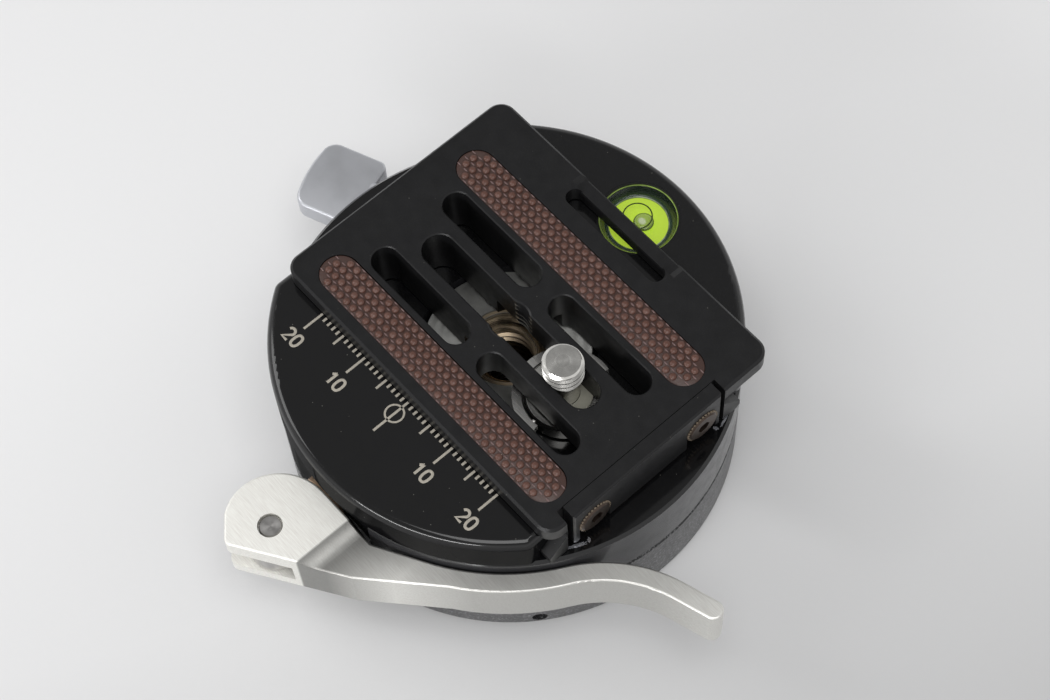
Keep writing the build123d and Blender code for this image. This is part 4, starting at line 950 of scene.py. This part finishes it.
class CLAMP_OT_bush(Operator):
    """Cuts the tripod bush with its real thread"""
    bl_idname = "clamp.cut_bush"
    bl_label = "Tripod bush"

    def execute(self, context):
        sizes = context.scene.thread_sizes
        bronze = context.scene.clamp_colours.bronze
        gap = 0.02
        foot, head = gap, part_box("thread_bush")[1].z / MM - gap
        crest, tooth, chamfer = 4.76, 0.75, 0.45
        flange, flange_top, barrel = 8.0, 2.4, 6.35

        # Painted shade darkens the bush deep down and on its upper rim
        metal = turned_metal("Bush bronze", bronze, 0.26, depth=0.003, per_mm=1.6, fan=0)
        height = metal.parts(metal.place)[2]
        painted_shade = metal.calc("MAXIMUM", metal.ranged(height, 17.2, 18.6, 1, 0),
                           metal.ranged(height, 22.0, 22.3, 0, 0.6))
        metal.overlay(painted_shade, seen(34, 28, 20))

        bush = bmesh.new()
        root = crest + sizes.bush_depth / MM
        wound_thread(bush, crest - tooth, root - tooth, sizes.bush_pitch / MM, foot, head, (0, 0),
                     lambda radius, level: max(radius, crest + chamfer - min(level - foot, head - level)))
        rows = [circle_of(bush, radius, level, (0, 0)) for radius, level in
                ((flange, foot), (flange, flange_top), (barrel, flange_top), (barrel, head))]
        for below, above in zip(rows, rows[1:]):
            band(bush, below, above)
        for level in (foot, head):
            loops = [e for e in bush.edges if e.is_boundary
                     and all(abs(v.co.z - level * MM) < 0.001 * MM for v in e.verts)]
            bmesh.ops.triangle_fill(bush, edges=loops, use_beauty=True, use_dissolve=False)
        outward(bush)
        settle(mesh_object("thread_bush_cut", bush, metal.material, 30), "base", "thread_brass",
               "thread_bush")
        return {"FINISHED"}


class CLAMP_OT_level(Operator):
    """Fills the bubble level"""
    bl_idname = "clamp.fill_level"
    bl_label = "Bubble level"

    def execute(self, context):
        sizes = context.scene.level_sizes
        fluid = context.scene.clamp_colours.fluid
        centre = middle("level_bezel")
        x, y = centre.x / MM, centre.y / MM
        disc, circle, top = sizes.disc / MM, sizes.circle / MM, sizes.disc_top / MM
        line, bubble = sizes.line / MM, sizes.bubble / MM
        low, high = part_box("level_vial")
        inner = (high.x - low.x) / 2 / MM - 0.01
        foot, lip, crown = 28.4, 31.1, 31.3
        edge = disc + 0.02

        def turned(name, outline, finish, slot, *nodes, axis=(x, y), steps=ROUND):
            """Turns one piece of the level from its outline of radius and height."""
            shape = bmesh.new()
            spun(shape, outline, axis, steps)
            outward(shape)
            settle(mesh_object(name, shape, finish.material), "turning_body", slot, *nodes)

        bright = Finish("Level fluid", fluid, 0.25)
        # Painted shade darkens the disc towards its edge
        far = bright.ranged(bright.spot((x, y, 29), (disc, disc, 90)), 0.2, 1.0)
        tone = bright.mixed(far, shade(fluid, 1.1), shade(fluid, 0.72))
        bright.colour(bright.mixed(bright.ranged(bright.noise(0.4, 3), 0.35, 0.7, 0, 0.4), tone,
                                   shade(fluid, 0.85)))
        bright.bump(bright.noise(0.8, 2), 0.01)
        # Painted light: the fluid glows, though it is no lamp
        bright.put("Emission Color", fluid)
        bright.put("Emission Strength", 0.66)
        turned("level_disc", [(0, foot), (disc, foot), (disc, top), (0, top)], bright, "fluid_green",
               "level_fluid")

        # Painted shade and light: the wall is dark, lighter near its top, and green just above the disc where
        # the fluid's light falls on it
        wall = Finish("Level wall", seen(30, 40, 24), 0.2)
        height = wall.parts(wall.place)[2]
        upper = wall.mixed(wall.ranged(height, 30.3, 30.6), seen(34, 42, 42), seen(16, 20, 20))
        wall.colour(wall.mixed(wall.ranged(height, top + 0.1, top + 0.45), seen(40, 66, 46), upper))
        wall.bump(wall.noise(1.5, 2), 0.01)
        turned("level_wall", [(edge, foot), (inner, foot), (inner, 31.05), (inner - 0.25, lip), (5.35, 30.4),
                              (5.1, top + 0.2), (edge, top + 0.05)], wall, "vial_clear")

        # Painted light: a thin bright green ring at the vial's rim, where light is carried through its edge
        glow = Finish("Level rim", seen(136, 158, 84), 0.2)
        glow.colour(glow.mixed(glow.noise(0.35, 2), seen(84, 104, 50), seen(168, 196, 92)))
        turned("level_rim", [(inner - 0.2, lip), (inner, lip), (inner, 31.2), (inner - 0.1, 31.29),
                             (inner - 0.2, 31.2)], glow, "vial_clear")

        # Painted highlight: a pale ring round the edge of the bright disc
        pale = Finish("Level crescent", seen(176, 186, 164), 0.12, specular=0.6)
        pale.colour(pale.mixed(pale.ranged(pale.noise(0.5, 2), 0.35, 0.65), seen(96, 112, 72),
                               seen(188, 198, 172)))
        turned("level_edge", [(edge, top + 0.06), (disc + 0.2, top + 0.1), (disc + 0.2, top + 0.16),
                              (edge, top + 0.12)], pale, "vial_clear")

        dark = printed_ink("Level circle", seen(58, 76, 22))
        near, away = circle - line / 2, circle + line / 2
        turned("level_circle", [(near, 31.305), (away, 31.305), (away, 31.33), (near, 31.33)], dark,
               "fluid_green", axis=(x - 0.45, y + 0.2))

        # Painted shade darkens the bubble's outline, a painted highlight sits near its top, and it glows a
        # little, painted light
        air = Finish("Level bubble", seen(188, 210, 120), 0.06, specular=0.8)
        bx, by, bottom = x + 0.55, y + 0.55, 30.3
        out = air.spot((bx, by, 30.4), (bubble, bubble, 90))
        glint = air.ranged(air.spot((bx - 0.1, by - 0.25, 30.6), (0.75, 0.6, 90)), 0.6, 1.1, 1, 0)
        shaded_outline = air.mixed(air.ranged(out, 0.78, 0.92), seen(176, 204, 92), seen(52, 78, 14))
        air.colour(air.mixed(glint, shaded_outline, seen(236, 246, 210)))
        air.put("Emission Color", fluid)
        air.put("Emission Strength", 0.1)
        air.bump(air.noise(0.6, 2), 0.004)
        dome = [(bubble * math.cos(math.radians(a)), bottom + 0.02 + 0.5 * math.sin(math.radians(a)))
                for a in range(0, 90, 10)]
        turned("level_bubble", [(0, bottom), *dome, (0, bottom + 0.52)], air, "fluid_green",
               axis=(bx, by), steps=48)

        clear = Finish("Level window", (0.02, 0.05, 0.02), 0.04, specular=0.9, alpha=0.1)
        clear.bump(clear.noise(0.3, 2), 0.003)
        clear.rough(clear.ranged(clear.noise(0.7, 3), 0.3, 0.7, 0.03, 0.1))
        turned("level_window", [(0, 30.95), (inner - 0.22, 30.95), (inner - 0.22, 31.2), (inner - 0.5, 31.28),
                                (0, crown)], clear, "vial_clear", "level_vial")
        return {"FINISHED"}


class CLAMP_OT_stage(Operator):
    """Sets the floor, the light and the camera of the photograph"""
    bl_idname = "clamp.set_stage"
    bl_label = "Stage"

    def execute(self, context):
        settings = context.scene.stage_settings
        context.scene.view_settings.view_transform = "Standard"
        self.lay_floor(settings)
        self.light_world(context.scene, settings)

        # Each softbox: its place and the point it faces in metres, its width, its power
        self.lamp("window_softbox", (-0.4, -0.25, 0.42), (-0.03, 0.0, 0), 0.26, settings.key_power)
        self.lamp("low_softbox", (0.142, -0.531, 0.262), (0, 0, 0.02), 0.46, settings.rim_power, depth=0.04)
        self.lamp("ceiling_softbox", (0.28, -0.16, 1.1), (0, 0, 0), 0.7, settings.fill_power)

        camera = bpy.data.cameras.new("camera")
        camera.lens = settings.lens
        camera.sensor_width = 36
        camera.clip_start = 0.01
        view = linked("camera", camera)
        a, e, roll = settings.azimuth, settings.elevation, settings.roll
        back = Vector((math.sin(a) * math.cos(e), -math.cos(a) * math.cos(e), math.sin(e)))
        right = Vector((math.cos(a), math.sin(a), 0))
        up = back.cross(right)
        across = right * math.cos(roll) + up * math.sin(roll)
        upward = up * math.cos(roll) - right * math.sin(roll)
        turn = Matrix((across, upward, back)).transposed()
        looked_at = mm(-1.399, 4.45, 15.0)
        view.matrix_world = Matrix.Translation(looked_at + back * settings.distance) @ turn.to_4x4()
        context.scene.camera = view
        return {"FINISHED"}

    def lay_floor(self, settings):
        """A pale paper floor with painted shade, a little darker to one side as in the photograph."""
        paper = Finish("Paper floor", settings.floor, 0.75, specular=0.2)
        flecks = paper.ranged(paper.cells(0.03), 0.004, 0.012, 0.25, 0)
        fibre = paper.noise(0.8, 4, 0.6)
        side = paper.parts(paper.placed(turn=(0, 0, math.radians(25))))[0]
        # Painted shade: the floor darkens towards one side, where the light falls off
        dim = paper.calc("ADD", paper.ranged(side, -40, 20, 0, 0.1), paper.ranged(side, 20, 75, 0, 0.24))
        tone = paper.mixed(dim, paper.mixed(fibre, shade(settings.floor, 0.985), settings.floor), (0, 0, 0))
        paper.colour(paper.mixed(flecks, tone, seen(190, 190, 190)))
        paper.bump(fibre, 0.02)
        sheet = bmesh.new()
        bmesh.ops.create_grid(sheet, x_segments=12, y_segments=12, size=3.0)
        bmesh.ops.translate(sheet, vec=mm(0, 0, -0.02), verts=sheet.verts)
        mesh_object("stage_floor", sheet, paper.material)

    def light_world(self, scene, settings):
        """Soft light all round, with a pale surround for the camera and for reflections."""
        scene.world = bpy.data.worlds.new("Studio")
        scene.world.use_nodes = True
        tree = scene.world.node_tree
        tree.nodes.clear()
        ray = add_node(tree, "ShaderNodeLightPath").outputs
        mirrored = add_node(tree, "ShaderNodeMath", {0: ray["Is Glossy Ray"], 1: ray["Is Transmission Ray"]},
                            operation="MAXIMUM").outputs[0]
        shown = add_node(tree, "ShaderNodeMath", {0: ray["Is Camera Ray"], 1: mirrored},
                         operation="MAXIMUM").outputs[0]
        way = add_node(tree, "ShaderNodeTexCoord").outputs["Generated"]
        height = add_node(tree, "ShaderNodeSeparateXYZ", {0: way}).outputs["Z"]
        surround = add_node(tree, "ShaderNodeMapRange", {
            "Value": height, "From Min": 0.4, "From Max": 0.72, "To Min": settings.world_white,
            "To Max": settings.world_top}).outputs["Result"]
        strength = add_node(tree, "ShaderNodeMapRange", {
            "Value": shown, "To Min": settings.world_light, "To Max": surround}).outputs["Result"]
        sky = add_node(tree, "ShaderNodeBackground", {"Color": (1, 1, 1), "Strength": strength})
        add_node(tree, "ShaderNodeOutputWorld", {"Surface": sky.outputs[0]})

    def lamp(self, name, place, target, width, power, depth=None):
        """An area lamp that faces a point, square unless it has a depth."""
        data = bpy.data.lights.new(name, "AREA")
        data.shape = "RECTANGLE" if depth else "SQUARE"
        data.size = width
        data.energy = power
        if depth:
            data.size_y = depth
        light = linked(name, data)
        light.location = place
        light.rotation_euler = (Vector(place) - Vector(target)).to_track_quat("Z", "Y").to_euler()


class CLAMP_PT_panel(Panel):
    """Lists the steps that dress the panning clamp"""
    bl_idname = "CLAMP_PT_panel"
    bl_label = "Panning clamp"
    bl_space_type = "VIEW_3D"
    bl_region_type = "UI"
    bl_category = "Panning clamp"

    def draw(self, context):
        for step in STEPS:
            self.layout.operator(step.bl_idname)
        for group in GROUPS:
            box = self.layout.box()
            settings = getattr(context.scene, group)
            for name in settings.__annotations__:
                box.prop(settings, name)


STEPS = (CLAMP_OT_castings, CLAMP_OT_metals, CLAMP_OT_ruler, CLAMP_OT_figures, CLAMP_OT_strips,
         CLAMP_OT_bar_screws, CLAMP_OT_camera_screw, CLAMP_OT_bush, CLAMP_OT_level, CLAMP_OT_stage)
GROUPS = {"clamp_colours": ClampColours, "ruler_sizes": RulerSizes, "strip_sizes": StripSizes,
          "thread_sizes": ThreadSizes, "level_sizes": LevelSizes, "stage_settings": StageSettings}


def register():
    for group in GROUPS.values():
        bpy.utils.register_class(group)
    for step in STEPS:
        bpy.utils.register_class(step)
    bpy.utils.register_class(CLAMP_PT_panel)
    for name, group in GROUPS.items():
        setattr(bpy.types.Scene, name, PointerProperty(type=group))


def unregister():
    for name in GROUPS:
        delattr(bpy.types.Scene, name)
    bpy.utils.unregister_class(CLAMP_PT_panel)
    for kind in (*reversed(STEPS), *GROUPS.values()):
        bpy.utils.unregister_class(kind)


def main():
    register()
    for step in STEPS:
        group, name = step.bl_idname.split(".")
        getattr(getattr(bpy.ops, group), name)()


if __name__ == "__main__":
    main()
